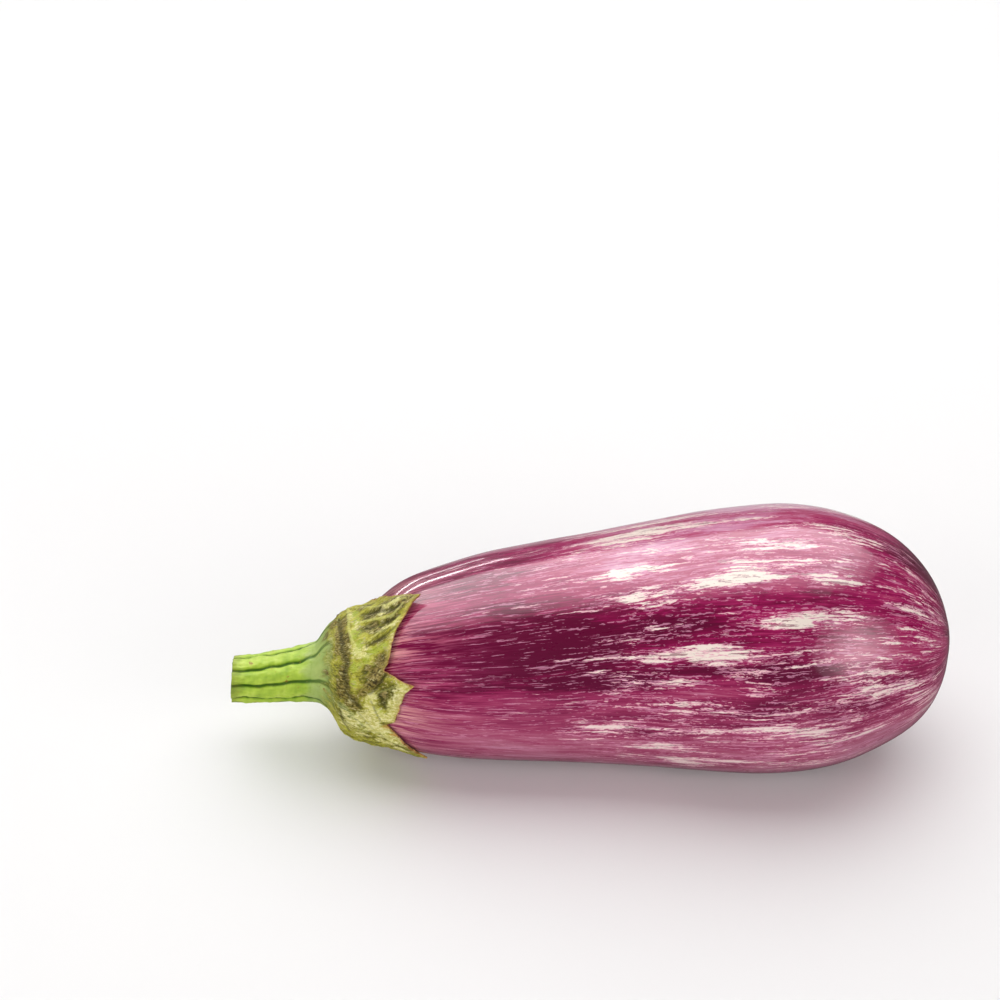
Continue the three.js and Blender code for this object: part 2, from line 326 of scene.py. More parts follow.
# ---------------------------------------------------------------- node helpers
class Mat:
    def __init__(self, name):
        self.m = bpy.data.materials.new(name)
        self.m.use_nodes = True
        self.t = self.m.node_tree
        self.t.nodes.clear()
        self.out = self.t.nodes.new("ShaderNodeOutputMaterial")
        self.bsdf = self.t.nodes.new("ShaderNodeBsdfPrincipled")
        self.link(self.bsdf.outputs[0], self.out.inputs["Surface"])

    def link(self, a, b):
        self.t.links.new(a, b)

    def put(self, socket, v):
        if isinstance(v, bpy.types.NodeSocket):
            self.link(v, socket)
        else:
            socket.default_value = v

    def attr(self, name, out="Vector"):
        n = self.t.nodes.new("ShaderNodeAttribute")
        n.attribute_name = name
        return n.outputs[out]

    def split(self, v):
        n = self.t.nodes.new("ShaderNodeSeparateXYZ")
        self.put(n.inputs[0], v)
        return n.outputs[0], n.outputs[1], n.outputs[2]

    def join(self, x, y, z):
        n = self.t.nodes.new("ShaderNodeCombineXYZ")
        for s, v in zip(n.inputs, (x, y, z)):
            self.put(s, v)
        return n.outputs[0]

    def math(self, op, a, b=0.0, c=None, clamp=False):
        n = self.t.nodes.new("ShaderNodeMath")
        n.operation = op
        n.use_clamp = clamp
        self.put(n.inputs[0], a)
        self.put(n.inputs[1], b)
        if c is not None:
            self.put(n.inputs[2], c)
        return n.outputs[0]

    def add(self, *v):
        out = v[0]
        for x in v[1:]:
            out = self.math("ADD", out, x)
        return out

    def mul(self, *v):
        out = v[0]
        for x in v[1:]:
            out = self.math("MULTIPLY", out, x)
        return out

    def sub(self, a, b):
        return self.math("SUBTRACT", a, b)

    def mad(self, a, b, c):
        return self.math("MULTIPLY_ADD", a, b, c)

    def scale(self, v, s):
        n = self.t.nodes.new("ShaderNodeVectorMath")
        n.operation = "MULTIPLY"
        self.put(n.inputs[0], v)
        n.inputs[1].default_value = s
        return n.outputs[0]

    def vadd(self, v, w):
        n = self.t.nodes.new("ShaderNodeVectorMath")
        n.operation = "ADD"
        self.put(n.inputs[0], v)
        self.put(n.inputs[1], w)
        return n.outputs[0]

    def noise(self, vec, scale=1.0, detail=2.0, rough=0.5, off=(0, 0, 0), dist=0.0):
        n = self.t.nodes.new("ShaderNodeTexNoise")
        n.noise_dimensions = "3D"
        if any(off):
            vec = self.vadd(vec, off)
        self.put(n.inputs["Vector"], vec)
        n.inputs["Scale"].default_value = scale
        n.inputs["Detail"].default_value = detail
        n.inputs["Roughness"].default_value = rough
        n.inputs["Distortion"].default_value = dist
        return n.outputs[0]

    def step(self, v, a, b, lo=0.0, hi=1.0, kind="SMOOTHSTEP"):
        n = self.t.nodes.new("ShaderNodeMapRange")
        n.interpolation_type = kind
        self.put(n.inputs["Value"], v)
        n.inputs["From Min"].default_value = a
        n.inputs["From Max"].default_value = b
        n.inputs["To Min"].default_value = lo
        n.inputs["To Max"].default_value = hi
        return n.outputs[0]

    def ramp(self, v, stops, mode="LINEAR"):
        n = self.t.nodes.new("ShaderNodeValToRGB")
        n.color_ramp.interpolation = mode
        e = n.color_ramp.elements
        while len(e) > 1:
            e.remove(e[-1])
        e[0].position, e[0].color = stops[0]
        for p, c in stops[1:]:
            x = e.new(p)
            x.color = c
        self.put(n.inputs[0], v)
        return n.outputs[0]

    def mix(self, f, a, b, mode="MIX"):
        n = self.t.nodes.new("ShaderNodeMix")
        n.data_type = "RGBA"
        n.blend_type = mode
        self.put(n.inputs[0], f)
        self.put(n.inputs[6], a)
        self.put(n.inputs[7], b)
        return n.outputs[2]

    def bump(self, height, strength, distance):
        n = self.t.nodes.new("ShaderNodeBump")
        n.inputs["Strength"].default_value = strength
        n.inputs["Distance"].default_value = distance
        self.put(n.inputs["Height"], height)
        return n.outputs[0]


# ---------------------------------------------------------------- fruit
NC, NR = 360, 240
R0 = 34.0

u = (np.arange(NR) + 1) / (NR + 1)
t_rows = L * (u - 0.055 * np.sin(2 * np.pi * u))
t_rows = np.concatenate([[0.35], t_rows[1:-1], [L - 0.35]])
phi_c = 2 * np.pi * np.arange(NC) / NC
T, PHI = np.meshgrid(t_rows, phi_c, indexing="ij")
base = fruit_point(T, PHI)
nrm = fruit_normal(T, PHI)
ends = smooth(T, 0, 25) * smooth(L - T, 0, 18)
# shallow long undulations, as a grown fruit has
wave = 0.20 * noise(drum(PHI, T, R0) * [0.045, 0.045, 0.014], 3) + 0.07 * noise(drum(PHI, T, R0) * [0.13, 0.13, 0.03], 5)
body = base + nrm * (wave * ends)[..., None]
# small dimple with a raised lip at the blossom scar
d_end = L - T
scar_r = np.hypot(d_end * np.cos(PHI) / 1.0, d_end * np.sin(PHI) * 1.0)
body += nrm * (-0.55 * np.exp(-(d_end / 2.6) ** 2) + 0.22 * np.exp(-((d_end - 5.2) / 2.0) ** 2))[..., None]
# the patch that it rests on
z = body[..., 2]
body[..., 2] = 0.5 * (z + np.sqrt(z * z + 0.09))
low = body[..., 2].min()
body[..., 2] -= low * np.exp(-body[..., 2] / 3.0)

# ---------------------------------------------------------------- pigment zones, kept as smooth fields on the vertices,
# with painted sheen and painted reflection among them
U, V = pixel(base)
front = np.sum(nrm * (EYE - base), -1) > 0


def locate(px, py):
    """Row and column of the skin point that shows at a place in the frame."""
    q = (U - px) ** 2 + (V - py) ** 2 + np.where(front, 0, 1e9)
    i = np.unravel_index(np.argmin(q), q.shape)
    return T[i], PHI[i]


RAD = np.interp(T, fruit_p.f[0](T[:, 0]) * 0 + T[:, 0], np.abs(fruit_p(T[:, 0])[1]))


def patch(t0, p0, long, wide, slope=0.0, power=2.0):
    """A soft oval on the skin: long and wide are half sizes in mm, slope is sideways drift per mm."""
    dt = T - t0
    dp = (np.remainder(PHI - p0 + np.pi, 2 * np.pi) - np.pi) * np.maximum(RAD, 8.0)
    dp = dp - slope * dt
    q = (dt / long) ** 2 + (dp / wide) ** 2
    return np.exp(-q ** (power / 2))


cream = np.zeros_like(T)
dark = np.zeros_like(T)
#            px   py   long wide slope strength
for px, py, lo, wi, sl, st in [
    (740, 577, 14, 3.0, -0.13, 1.00), (712, 585, 10, 1.6, -0.05, 0.75), (834, 576, 9.5, 2.8, 0.10, 0.88),
    (786, 573, 15, 1.4, -0.05, 0.45), (802, 621, 13, 2.8, 0.0, 1.00), (686, 652, 11, 2.3, -0.02, 1.00),
    (725, 655, 9, 2.2, 0.0, 0.85), (640, 655, 20, 1.2, -0.08, 0.80), (580, 660, 14, 0.55, -0.05, 0.65),
    (868, 686, 13, 2.7, 0.0, 1.00), (626, 571, 10, 1.7, -0.08, 0.80), (631, 600, 4, 1.1, 0.0, 0.75),
    (808, 734, 9, 1.9, 0.0, 0.95), (756, 694, 6, 1.1, 0.0, 0.65), (715, 716, 8, 1.0, 0.0, 0.65), (690, 752, 9, 0.9, 0.0, 0.50), (845, 612, 8, 1.6, 0.1, 0.60), (655, 533, 21, 3.6, -0.07, 0.95), (600, 541, 13, 2.2, -0.07, 0.70), (742, 520, 16, 1.6, -0.03, 0.45), (704, 730, 10, 1.3, 0.0, 0.85), (604, 726, 10, 1.0, 0.0, 0.65), (661, 748, 9, 0.9, 0.0, 0.65), (673, 758, 7, 1.1, 0.0, 0.75), (776, 728, 6, 0.9, 0.0, 0.65),
    (682, 684, 11, 1.7, 0.0, 0.85), (905, 628, 5, 1.2, 0.2, 0.60), (902, 588, 6, 1.1, 0.45, 0.55),
    (790, 665, 8, 1.6, 0.0, 0.45), (880, 640, 9, 1.4, 0.1, 0.35), (760, 540, 14, 1.6, 0.0, 0.40),
    (700, 760, 22, 1.2, 0.0, 0.55), (670, 711, 14, 1.1, 0.0, 0.70), (530, 668, 10, 0.5, 0.0, 0.45),
    (880, 725, 9, 1.2, -0.3, 0.45), (540, 700, 8, 0.6, 0.0, 0.35),
]:
    t0, p0 = locate(px, py)
    cream = np.maximum(cream, st * patch(t0, p0, lo, wi, sl, 2.4))
for px, py, lo, wi, sl, st in [
    (560, 648, 27, 6.4, -0.04, 1.00), (470, 655, 16, 6.0, -0.02, 0.22), (650, 629, 28, 4.6, -0.05, 0.80),
    (790, 601, 22, 3.0, 0.0, 0.50), (735, 606, 14, 2.2, 0.0, 0.35), (790, 672, 13, 3.4, 0.0, 0.85),
    (700, 670, 18, 2.4, 0.0, 0.60), (918, 568, 14, 6.0, 0.1, 0.60), (860, 530, 10, 3.0, 0.1, 0.15),
    (610, 684, 24, 3.6, 0.0, 0.70), (762, 706, 15, 4.5, 0.0, 0.50), (850, 712, 12, 3.0, 0.0, 0.35), (740, 640, 14, 1.6, 0.0, 0.35),
]:
    t0, p0 = locate(px, py)
    dark = np.maximum(dark, st * patch(t0, p0, lo, wi, sl))

# the side that the photograph doesn't show: the same kinds of patches, set by a seeded draw
rng = np.random.RandomState(41)
for _ in range(46):
    p0 = math.radians(rng.uniform(238, 415))
    t0 = rng.uniform(40, 196)
    k = rng.rand()
    hide = patch(t0, p0, rng.uniform(7, 17), rng.uniform(0.9, 2.6), rng.uniform(-0.08, 0.08), 2.4)
    if k < 0.62:
        cream = np.maximum(cream, rng.uniform(0.4, 0.9) * hide)
    else:
        dark = np.maximum(dark, rng.uniform(0.35, 0.7) * patch(t0, p0, rng.uniform(14, 26), rng.uniform(3, 6)))

psi = np.degrees(PHI) - 53.6
# light zone on the upper side, in the middle, partly pale skin and partly painted overhead sheen; a paler lower half,
# partly duller skin and partly painted floor reflection; a paler band low on the far side; a painted reflection along
# the top edge
light = 0.75 * np.exp(-((T - 112) / 42.0) ** 2) * np.exp(-(wrap(psi - 34) / 30.0) ** 2)
light += 0.30 * np.exp(-((T - 150) / 34.0) ** 2) * np.exp(-(wrap(psi - 26) / 26.0) ** 2)
# paler lower half: partly duller skin, partly painted floor reflection
light += 0.34 * np.exp(-(wrap(psi - 152) / 34.0) ** 2) * smooth(T, 20, 50)
light += 0.30 * np.exp(-(wrap(psi - 250) / 40.0) ** 2)
# painted reflection of the bright surroundings along the top edge
light += 0.48 * np.exp(-(wrap(psi - 0) / 17.0) ** 2) * smooth(T, 60, 100) * (1 - smooth(T, 172, 196))
hot = np.exp(-((T - 26) / 24.0) ** 2) * (0.45 + 0.55 * np.exp(-(wrap(psi - 105) / 42.0) ** 4))
hot = np.maximum(hot, 1.0 * np.exp(-((T - 52) / 36.0) ** 2) * np.exp(-(wrap(psi + 2) / 20.0) ** 2))
calm = (1 - smooth(T, 56, 104)) * (0.35 + 0.65 * np.exp(-(wrap(psi - 92) / 92.0) ** 4))
dark = np.maximum(dark, 0.15 * np.exp(-((T - 44) / 30.0) ** 2) * np.exp(-(wrap(psi - 6) / 15.0) ** 2))
dark = np.maximum(dark, 0.72 * np.exp(-((T - 186) / 13.0) ** 2) * np.exp(-(wrap(psi - 22) / 24.0) ** 2))
Xm_c = np.interp((np.degrees(phi_c)) % 360, np.concatenate([[MARGIN[-1, 0] - 360], MARGIN[:, 0], [MARGIN[0, 0] + 360]]),
                 np.concatenate([[MARGIN[-1, 1]], MARGIN[:, 1], [MARGIN[0, 1]]]))
tm_c = fruit_p.where(Xm_c)
near_calyx = T - tm_c[None, :]
notch = sum(a_ * np.exp(-(wrap(psi - c_) / w_) ** 2) for c_, w_, a_ in
            ((80, 12, 0.8), (131, 13, 1.0), (176, 13, 0.85), (212, 12, 0.8), (264, 16, 0.9), (338, 16, 0.9), (20, 14, 0.9)))
edge_pale = np.exp(-np.clip(near_calyx, 0, None) / 7.5) * (0.16 + 0.84 * np.clip(notch, 0, 1))
# duller, smoother ground on the lower half: partly the skin's own duller tone, partly painted floor reflection
dull_and_floor_reflection = np.clip(0.95 * np.exp(-(wrap(psi - 154) / 47.0) ** 4) * smooth(T, 8, 22) + 0.40 * np.exp(-(wrap(psi - 238) / 40.0) ** 4), 0, 1)
hot = hot * (1 - 0.80 * dull_and_floor_reflection)

fruit = grid_mesh("fruit_skin", body, start=body[0].mean(0), end=body[-1].mean(0),
                  attrs={"sk": drum(PHI, T, R0), "calm": calm, "dull_and_floor_reflection": dull_and_floor_reflection, "zone": np.stack([cream, dark, light], -1),
                         "zoneb": np.stack([hot, edge_pale, d_end], -1)})


GROUND = [(0.00, rgb("5a002c")), (0.20, rgb("78003c")), (0.40, rgb("961252")), (0.60, rgb("a93c64")),
          (0.80, rgb("c27b9c")), (1.00, rgb("dcb8ca"))]
# ground of the lower half: duller skin with painted floor reflection mixed in
DULL_AND_FLOOR_REFLECTION = [(0.00, rgb("5e1538")), (0.25, rgb("80284c")), (0.50, rgb("9e4868")), (0.75, rgb("b56f88")), (1.00, rgb("d3a2b5"))]


def skin_material():
    m = Mat("eggplant_skin")
    sk = m.attr("sk")
    x, y, s = m.split(sk)
    cr, dk, li = m.split(m.attr("zone"))
    ho, ep, de = m.split(m.attr("zoneb"))
    cm = m.attr("calm", "Fac")
    du = m.attr("dull_and_floor_reflection", "Fac")
    # threads: each one is shifted along its length, so that every patch ends in loose strokes
    thread = m.noise(m.scale(sk, (0.9, 0.9, 0.03)), detail=1.0, off=(3.1, 0, 0))
    fine_thread = m.noise(m.scale(sk, (2.6, 2.6, 0.08)), detail=1.0, off=(9.1, 4, 0))
    sway_x = m.noise(m.scale(sk, (0.05, 0.05, 0.022)), detail=1.0, off=(0, 7, 0))
    sway_y = m.noise(m.scale(sk, (0.05, 0.05, 0.022)), detail=1.0, off=(0, 0, 13))
    q = m.join(m.mad(sway_x, 6.0, x), m.mad(sway_y, 6.0, y), m.add(s, m.mad(thread, 12.0, -6.0), m.mad(fine_thread, 8.0, -4.0)))
    n_low = m.noise(m.scale(q, (0.075, 0.075, 0.016)), detail=2.0)
    n_mid = m.noise(m.scale(q, (0.36, 0.36, 0.040)), detail=3.0, rough=0.6, off=(5, 1, 2))
    n_fine = m.noise(m.scale(q, (1.5, 1.5, 0.105)), detail=3.0, rough=0.62, off=(1, 8, 3))
    n_hair = m.noise(m.scale(q, (3.2, 3.2, 0.20)), detail=2.0, off=(2, 2, 9))
    n_clus = m.noise(m.scale(q, (0.24, 0.24, 0.045)), detail=2.0, rough=0.55, off=(21, 3, 7))
    # tone of the purple ground: 0 deep, 1 light
    streak = m.add(m.mad(n_fine, 0.95, -0.475), m.mad(n_hair, 0.50, -0.25))
    tone = m.add(0.34, m.mad(n_low, 0.9, -0.45), m.mad(n_mid, 0.9, -0.45), m.mul(streak, m.add(0.95, m.mul(li, -0.40), m.mul(du, -0.35), m.mul(m.mul(du, cm), -0.30))))
    # the light zone lifts the tone: partly pale skin, partly painted sheen and painted reflection
    tone = m.add(tone, m.mul(dk, -0.72), m.mul(li, 0.52), m.mul(cr, 0.06), m.mul(cm, m.mad(du, 0.25, -0.20)))
    # the lower half takes the duller ground, which carries painted floor reflection
    ground = m.mix(m.mul(du, 0.80), m.ramp(tone, GROUND), m.ramp(tone, DULL_AND_FLOOR_REFLECTION))
    # pale strokes; their cover runs from none in the dark bands to whole in the cream patches
    cover = m.add(0.02, m.mul(cr, 0.58), m.mul(m.mad(n_clus, 2.0, -0.98), m.mad(cm, -0.45, 1.0)), m.mul(li, 0.10), m.mul(dk, -0.15), m.mul(m.mul(dk, cm), -0.32), m.mul(du, 0.03), m.mul(cm, m.mad(du, -0.16, -0.14)))
    # small sideways tears in the strokes
    wob_x = m.noise(m.scale(sk, (0.55, 0.55, 0.28)), detail=2.0, rough=0.6, off=(5, 0, 23))
    wob_y = m.noise(m.scale(sk, (0.55, 0.55, 0.28)), detail=2.0, rough=0.6, off=(0, 5, 29))
    loose = m.mad(cm, -0.70, 1.0)
    q2 = m.vadd(q, m.join(m.mul(m.mad(wob_x, 1.5, -0.75), loose), m.mul(m.mad(wob_y, 1.5, -0.75), loose), 0.0))
    n_dash = m.noise(m.scale(q2, (1.25, 1.25, 0.072)), detail=3.0, rough=0.60, off=(11, 3, 5))
    n_dash2 = m.noise(m.scale(q2, (2.1, 2.1, 0.10)), detail=2.0, rough=0.55, off=(4, 14, 6))
    n_torn = m.noise(m.scale(sk, (2.0, 2.0, 0.75)), detail=3.0, rough=0.65, off=(8, 2, 17))
    v1 = m.add(n_dash, m.mad(n_hair, 0.22, -0.11), m.mad(n_fine, 0.20, -0.10), m.mul(m.mad(n_torn, 0.32, -0.16), loose), m.mul(cover, 0.42), -0.652)
    dash = m.step(v1, -0.010, 0.020)
    v2 = m.add(n_dash2, m.mad(n_torn, 0.20, -0.10), m.mul(cover, 0.15), -0.578)
    dash2 = m.step(v2, -0.010, 0.035)
    # thin dark strokes, seen most inside the cream patches
    n_dark = m.noise(m.scale(q, (1.7, 1.7, 0.10)), detail=3.0, rough=0.6, off=(31, 14, 2))
    nick = m.step(m.add(n_dark, m.mad(n_torn, 0.36, -0.18)), 0.575, 0.610)
    veil = m.step(v1, -0.12, 0.02)
    col = m.mix(m.mul(veil, m.mad(du, -0.12, 0.30)), ground, m.mix(du, rgb("b8507e"), rgb("b86080")))
    col = m.mix(m.mul(dash2, m.mad(dk, 0.10, 0.50)), col, rgb("dc94b4"))
    deep = m.step(v1, 0.02, 0.13)
    col = m.mix(m.mul(dash, m.mad(deep, 0.16, 0.80)), col, m.mix(deep, m.mix(m.mul(du, 0.80), rgb("ecb9c4"), rgb("dd8fab")), m.mix(m.mul(du, 0.35), rgb("f0e3d7"), rgb("ecbccb"))))
    col = m.mix(m.mul(m.mul(nick, dash), 0.70), col, rgb("7f3450"))
    # hot magenta towards the calyx, paler where the calyx shaded it
    hm = m.mul(ho, m.step(m.add(n_mid, m.mad(n_fine, 0.5, -0.25)), 0.30, 0.66, 0.32, 0.90))
    col = m.mix(m.mul(hm, m.mad(dash2, -0.5, 1.0)), col, m.mix(m.step(n_fine, 0.42, 0.62), rgb("95084e"), rgb("c23a7c")))
    pale = m.mul(ep, m.step(m.add(n_fine, m.mul(n_mid, 0.7)), 0.72, 0.98))
    col = m.mix(m.mul(pale, 0.85), col, rgb("f0bfae"))
    # blossom scar and its halo
    rays = m.noise(m.scale(sk, (0.55, 0.55, 0.05)), detail=2.0, off=(6, 6, 6))
    halo_m = m.step(m.add(de, m.mad(rays, 14.0, -7.0)), 6.5, 1.8)
    col = m.mix(m.mul(halo_m, 0.85), col, rgb("efdccb"))
    scar_n = m.noise(m.scale(sk, (0.25, 0.25, 0.6)), detail=3.0, off=(1, 5, 5))
    scar_m = m.step(m.add(de, m.mad(scar_n, 2.0, -1.0)), 2.3, 1.5)
    col = m.mix(scar_m, col, m.mix(scar_n, rgb("7a4c22"), rgb("caa064")))
    m.put(m.bsdf.inputs["Base Color"], col)
    rough_n = m.noise(m.scale(sk, (0.5, 0.5, 0.2)), detail=3.0)
    rough = m.add(0.24, m.mul(rough_n, 0.10), m.mul(dash, 0.04), m.mul(scar_m, 0.4))
    m.put(m.bsdf.inputs["Roughness"], rough)
    height = m.add(m.mul(m.noise(m.scale(sk, (0.9, 0.9, 0.06)), detail=2.0), 0.6), m.mul(m.noise(m.scale(sk, (1.8, 1.8, 0.14)), detail=1.0), 0.3))
    m.put(m.bsdf.inputs["Normal"], m.bump(height, 0.10, 0.0004))
    m.bsdf.inputs["Coat Weight"].default_value = 0.75
    m.bsdf.inputs["Specular IOR Level"].default_value = 0.14
    m.bsdf.inputs["Coat Roughness"].default_value = 0.085
    m.bsdf.inputs["IOR"].default_value = 1.46
    return m.m


fruit.data.materials.append(skin_material())
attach(fruit, "root")
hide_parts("fruit")

# ---------------------------------------------------------------- the stalk that stem and calyx share
GROOVES = (20, 67, 110, 158, 205, 250, 295, 338)
JX = np.array([-104.27, -99.59, -96.08, -92.56, -89.04, -85.52, -82.60, -80.80, -79.80, -79.10, -78.50, -77.25, -75.80])
JR = np.array([6.60, 6.78, 7.05, 7.35, 7.60, 7.88, 8.20, 8.48, 8.85, 9.35, 9.95, 11.30, 12.85])
stalk_spline = spline(JX, JR)


def groove_field(psi_deg, X):
    """Depth of the grooves, 0 on a rib and 1 in a groove; they wander a little along the stem."""
    out = 0.0
    for i, g in enumerate(GROOVES):
        drift = 3.0 * np.sin(0.33 * X + i * 2.1) + 2.0 * np.sin(0.8 * X + i)
        if g == 67:
            drift = np.interp(X, [-103, -97, -91, -84, -79], [1.0, 1.0, -2.0, -4.0, -9.0]) + 1.2 * np.sin(1.1 * X)
        if g == 110:
            drift = np.interp(X, [-103, -97, -94, -90, -84, -79], [-1.0, 1.5, 2.0, 0.0, -2.5, 0.5]) + 1.0 * np.sin(0.9 * X + 1)
        d = wrap(psi_deg - g - drift)
        out = np.maximum(out, np.exp(-(d / 4.6) ** 2) * 0.62 + 0.38 * np.exp(-(d / 13.0) ** 2))
    return out


def stalk_radius(X, phi):
    """Radius of the ribbed stalk, from the cut to where it widens into the calyx."""
    psi_ = np.degrees(phi) - 53.6
    g = groove_field(psi_, X)
    keep = 1 - 0.55 * smooth(X, -86, -80) - 0.45 * smooth(X, -80, -76.5)
    dr = drum(phi, X, 7.5)
    knob = 0.24 * fbm(dr * [0.35, 0.35, 0.24], 3, 11) + 0.10 * noise(dr * [0.9, 0.9, 0.5], 15) + 0.05 * noise(dr * [1.7, 1.7, 1.2], 23)
    knots = 0.14 * np.exp(-(np.sin(0.42 * X + 1.3 * np.sin(phi * 2)) / 0.35) ** 2)
    return stalk_spline(X) + 0.14 - 1.25 * keep * g + knob + knots * keep + 0.10 * np.sin(np.radians(psi_) * 4 + 1.0) * keep, g


def stalk_nodes(m):
    """Colour, roughness and height of the stalk, used by both pieces so that they meet without a line."""
    ax = m.attr("ax")
    x, y, s = m.split(ax)
    g = m.attr("gr", "Fac")
    n1 = m.noise(m.scale(ax, (0.30, 0.30, 0.16)), detail=3.0, off=(2, 0, 0))
    n2 = m.noise(m.scale(ax, (1.1, 1.1, 0.42)), detail=4.0, rough=0.65, off=(0, 5, 0))
    n3 = m.noise(m.scale(ax, (0.16, 0.16, 0.55)), detail=2.0, off=(0, 0, 8))
    n4 = m.noise(m.scale(ax, (0.45, 0.45, 0.45)), detail=3.0, rough=0.6, off=(3, 9, 4))
    t1 = m.add(m.mul(n1, 0.65), m.mul(n2, 0.25), m.mul(n3, 0.35))
    col = m.ramp(t1, [(0.36, rgb("587f12")), (0.52, rgb("82a81c")), (0.66, rgb("a2c032")), (0.84, rgb("c2d462"))])
    # painted highlight on the ribs, painted shade in the grooves
    edge = m.step(m.add(g, m.mad(n2, 0.3, -0.15)), 0.62, 0.30)
    col = m.mix(m.mul(edge, 0.22), col, rgb("c8d866"))
    groove_shade = m.step(m.add(g, m.mad(n2, 0.5, -0.25)), 0.42, 0.92)
    col = m.mix(m.mul(groove_shade, 0.88), col, rgb("24500f"))
    sage = m.step(m.add(s, m.mad(n1, 10.0, -5.0), m.mad(n2, 4.0, -2.0)), -85.0, -79.5)
    col = m.mix(m.mul(sage, m.mad(groove_shade, -0.5, 0.62)), col, m.mix(n4, rgb("7c9450"), rgb("b4c08c")))
    dry = m.step(m.add(s, m.mad(n1, 7.0, -3.5)), -100.0, -104.5)
    col = m.mix(m.mul(dry, 0.50), col, rgb("6f6f28"))
    tan = m.step(m.add(n4, m.mul(n2, 0.3)), 0.76, 0.86)
    col = m.mix(m.mul(tan, 0.40), col, rgb("a8963e"))
    spots = m.step(n4, 0.665, 0.72)
    col = m.mix(m.mul(spots, 0.65), col, rgb("7f4e1e"))
    rough = m.add(0.40, m.mul(n2, 0.22))
    h = m.add(m.mul(n2, 0.7), m.mul(m.noise(m.scale(ax, (3, 3, 0.8)), detail=2.0), 0.35))
    return col, rough, h, n2


# ---------------------------------------------------------------- stem
SC, SR = 320, 110
xs = np.linspace(-104.27, -80.40, SR)
XS, PS = np.meshgrid(xs, 2 * np.pi * np.arange(SC) / SC, indexing="ij")
ys = np.interp(xs, STEM[:, 0], STEM[:, 2])[:, None]
zs = spline(STEM[:, 0], STEM[:, 3])(np.minimum(xs, -80.8))[:, None]
rho, gf = stalk_radius(XS, PS)
rho = rho - 0.40 * smooth(XS, -80.95, -80.40)
along = (XS - XS[0, 0]) / (xs[-1] - xs[0])
lean = 0.06 * (1 - along) ** 2
lean = lean + 0.10 * np.exp(-along * 18) * noise(drum(PS, 0 * PS, 2.4), 61) / np.maximum(rho, 1) * 3
side = np.stack([XS + lean * rho * np.sin(PS), ys + rho * np.cos(PS), zs + rho * np.sin(PS)], -1) + SHIFT
c0 = side[0].mean(0)
face_rows = []
ks = np.linspace(0.04, 0.955, 24)
for k in ks:
    ring_ = c0 + (side[0] - c0) * k
    q = drum(PS[0], 0 * PS[0], 6.0 * k)
    ring_[:, 0] += 0.30 + 0.14 * fbm(q * [0.7, 0.7, 1], 3, 31) - 0.40 * math.exp(-((k - 0.80) / 0.09) ** 2) + 0.35 * math.exp(-(k / 0.30) ** 2)
    face_rows.append(ring_)
rim_ = c0 + (side[0] - c0) * 0.985
rim_[:, 0] += 0.10
cb = side[-1].mean(0)
rows = np.array(face_rows + [rim_] + list(side) + [cb + (side[-1] - cb) * k for k in (0.8, 0.4)])
nf = len(face_rows) + 1
kk = np.concatenate([ks, [0.985], np.ones(SR), [0.8, 0.4]])
g_all = np.vstack([np.repeat(gf[:1], nf, 0), gf, np.repeat(gf[-1:], 2, 0)])
x_all = np.vstack([np.repeat(XS[:1], nf, 0), XS, np.repeat(XS[-1:], 2, 0)])
p_all = np.repeat(PS[:1], len(rows), 0)
isface = np.zeros((len(rows), SC))
isface[:nf] = 1.0
flat = rows - SHIFT
stem = grid_mesh("stem_ribbed", rows, start=rows[0].mean(0), end=cb,
                 attrs={"ax": drum(p_all, x_all, 7.5), "gr": g_all,
                        "cut": np.stack([flat[..., 1], flat[..., 2], np.repeat(kk[:, None], SC, 1)], -1), "isf": isface})


def stem_material():
    m = Mat("stem_green")
    col, rough, h, n2 = stalk_nodes(m)
    cy, cz, fkk = m.split(m.attr("cut"))
    isf = m.attr("isf", "Fac")
    cv = m.join(cy, cz, 0.0)
    grain = m.noise(m.scale(cv, (2.6, 2.6, 1)), detail=3.0, rough=0.6)
    blot = m.noise(m.scale(cv, (0.5, 0.5, 1)), detail=2.0, off=(4, 4, 0))
    # cut face: green rind, pale ring of fibres, corky middle
    face = m.ramp(m.add(fkk, m.mad(blot, 0.24, -0.12), m.mad(grain, 0.10, -0.05)), [
        (0.00, rgb("8f8450")), (0.28, rgb("b0a86a")), (0.52, rgb("c2c486")), (0.72, rgb("a3b75c")),
        (0.87, rgb("75933a")), (1.0, rgb("5f6c2a"))])
    face = m.mix(m.step(grain, 0.48, 0.72, 0.0, 0.55), face, rgb("655428"))
    col = m.mix(isf, col, face)
    m.put(m.bsdf.inputs["Base Color"], col)
    m.put(m.bsdf.inputs["Roughness"], m.add(rough, m.mul(isf, 0.25)))
    m.put(m.bsdf.inputs["Normal"], m.bump(m.add(h, m.mul(m.mul(grain, isf), 0.8)), 0.45, 0.0005))
    m.bsdf.inputs["Specular IOR Level"].default_value = 0.32
    return m.m


stem.data.materials.append(stem_material())
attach(stem, "root")
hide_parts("stem")

# ---------------------------------------------------------------- calyx
CC = 540
CO, CI = 72, 26
phic = 2 * np.pi * np.arange(CC) / CC
degc = np.degrees(phic)
mx = np.concatenate([[MARGIN[-1, 0] - 360], MARGIN[:, 0], [MARGIN[0, 0] + 360]])
my = np.concatenate([[MARGIN[-1, 1]], MARGIN[:, 1], [MARGIN[0, 1]]])
Xm = np.interp(degc, mx, my)
# small nicks and waves along the margin
ring = np.stack([25 * np.cos(phic), 25 * np.sin(phic), 0 * phic], -1)
Xm = Xm + 0.40 * noise(ring * 0.42, 2) + 0.26 * noise(ring * 1.1, 4)
so_m = calyx_p.where(Xm)
ti_m = fruit_p.where(Xm)

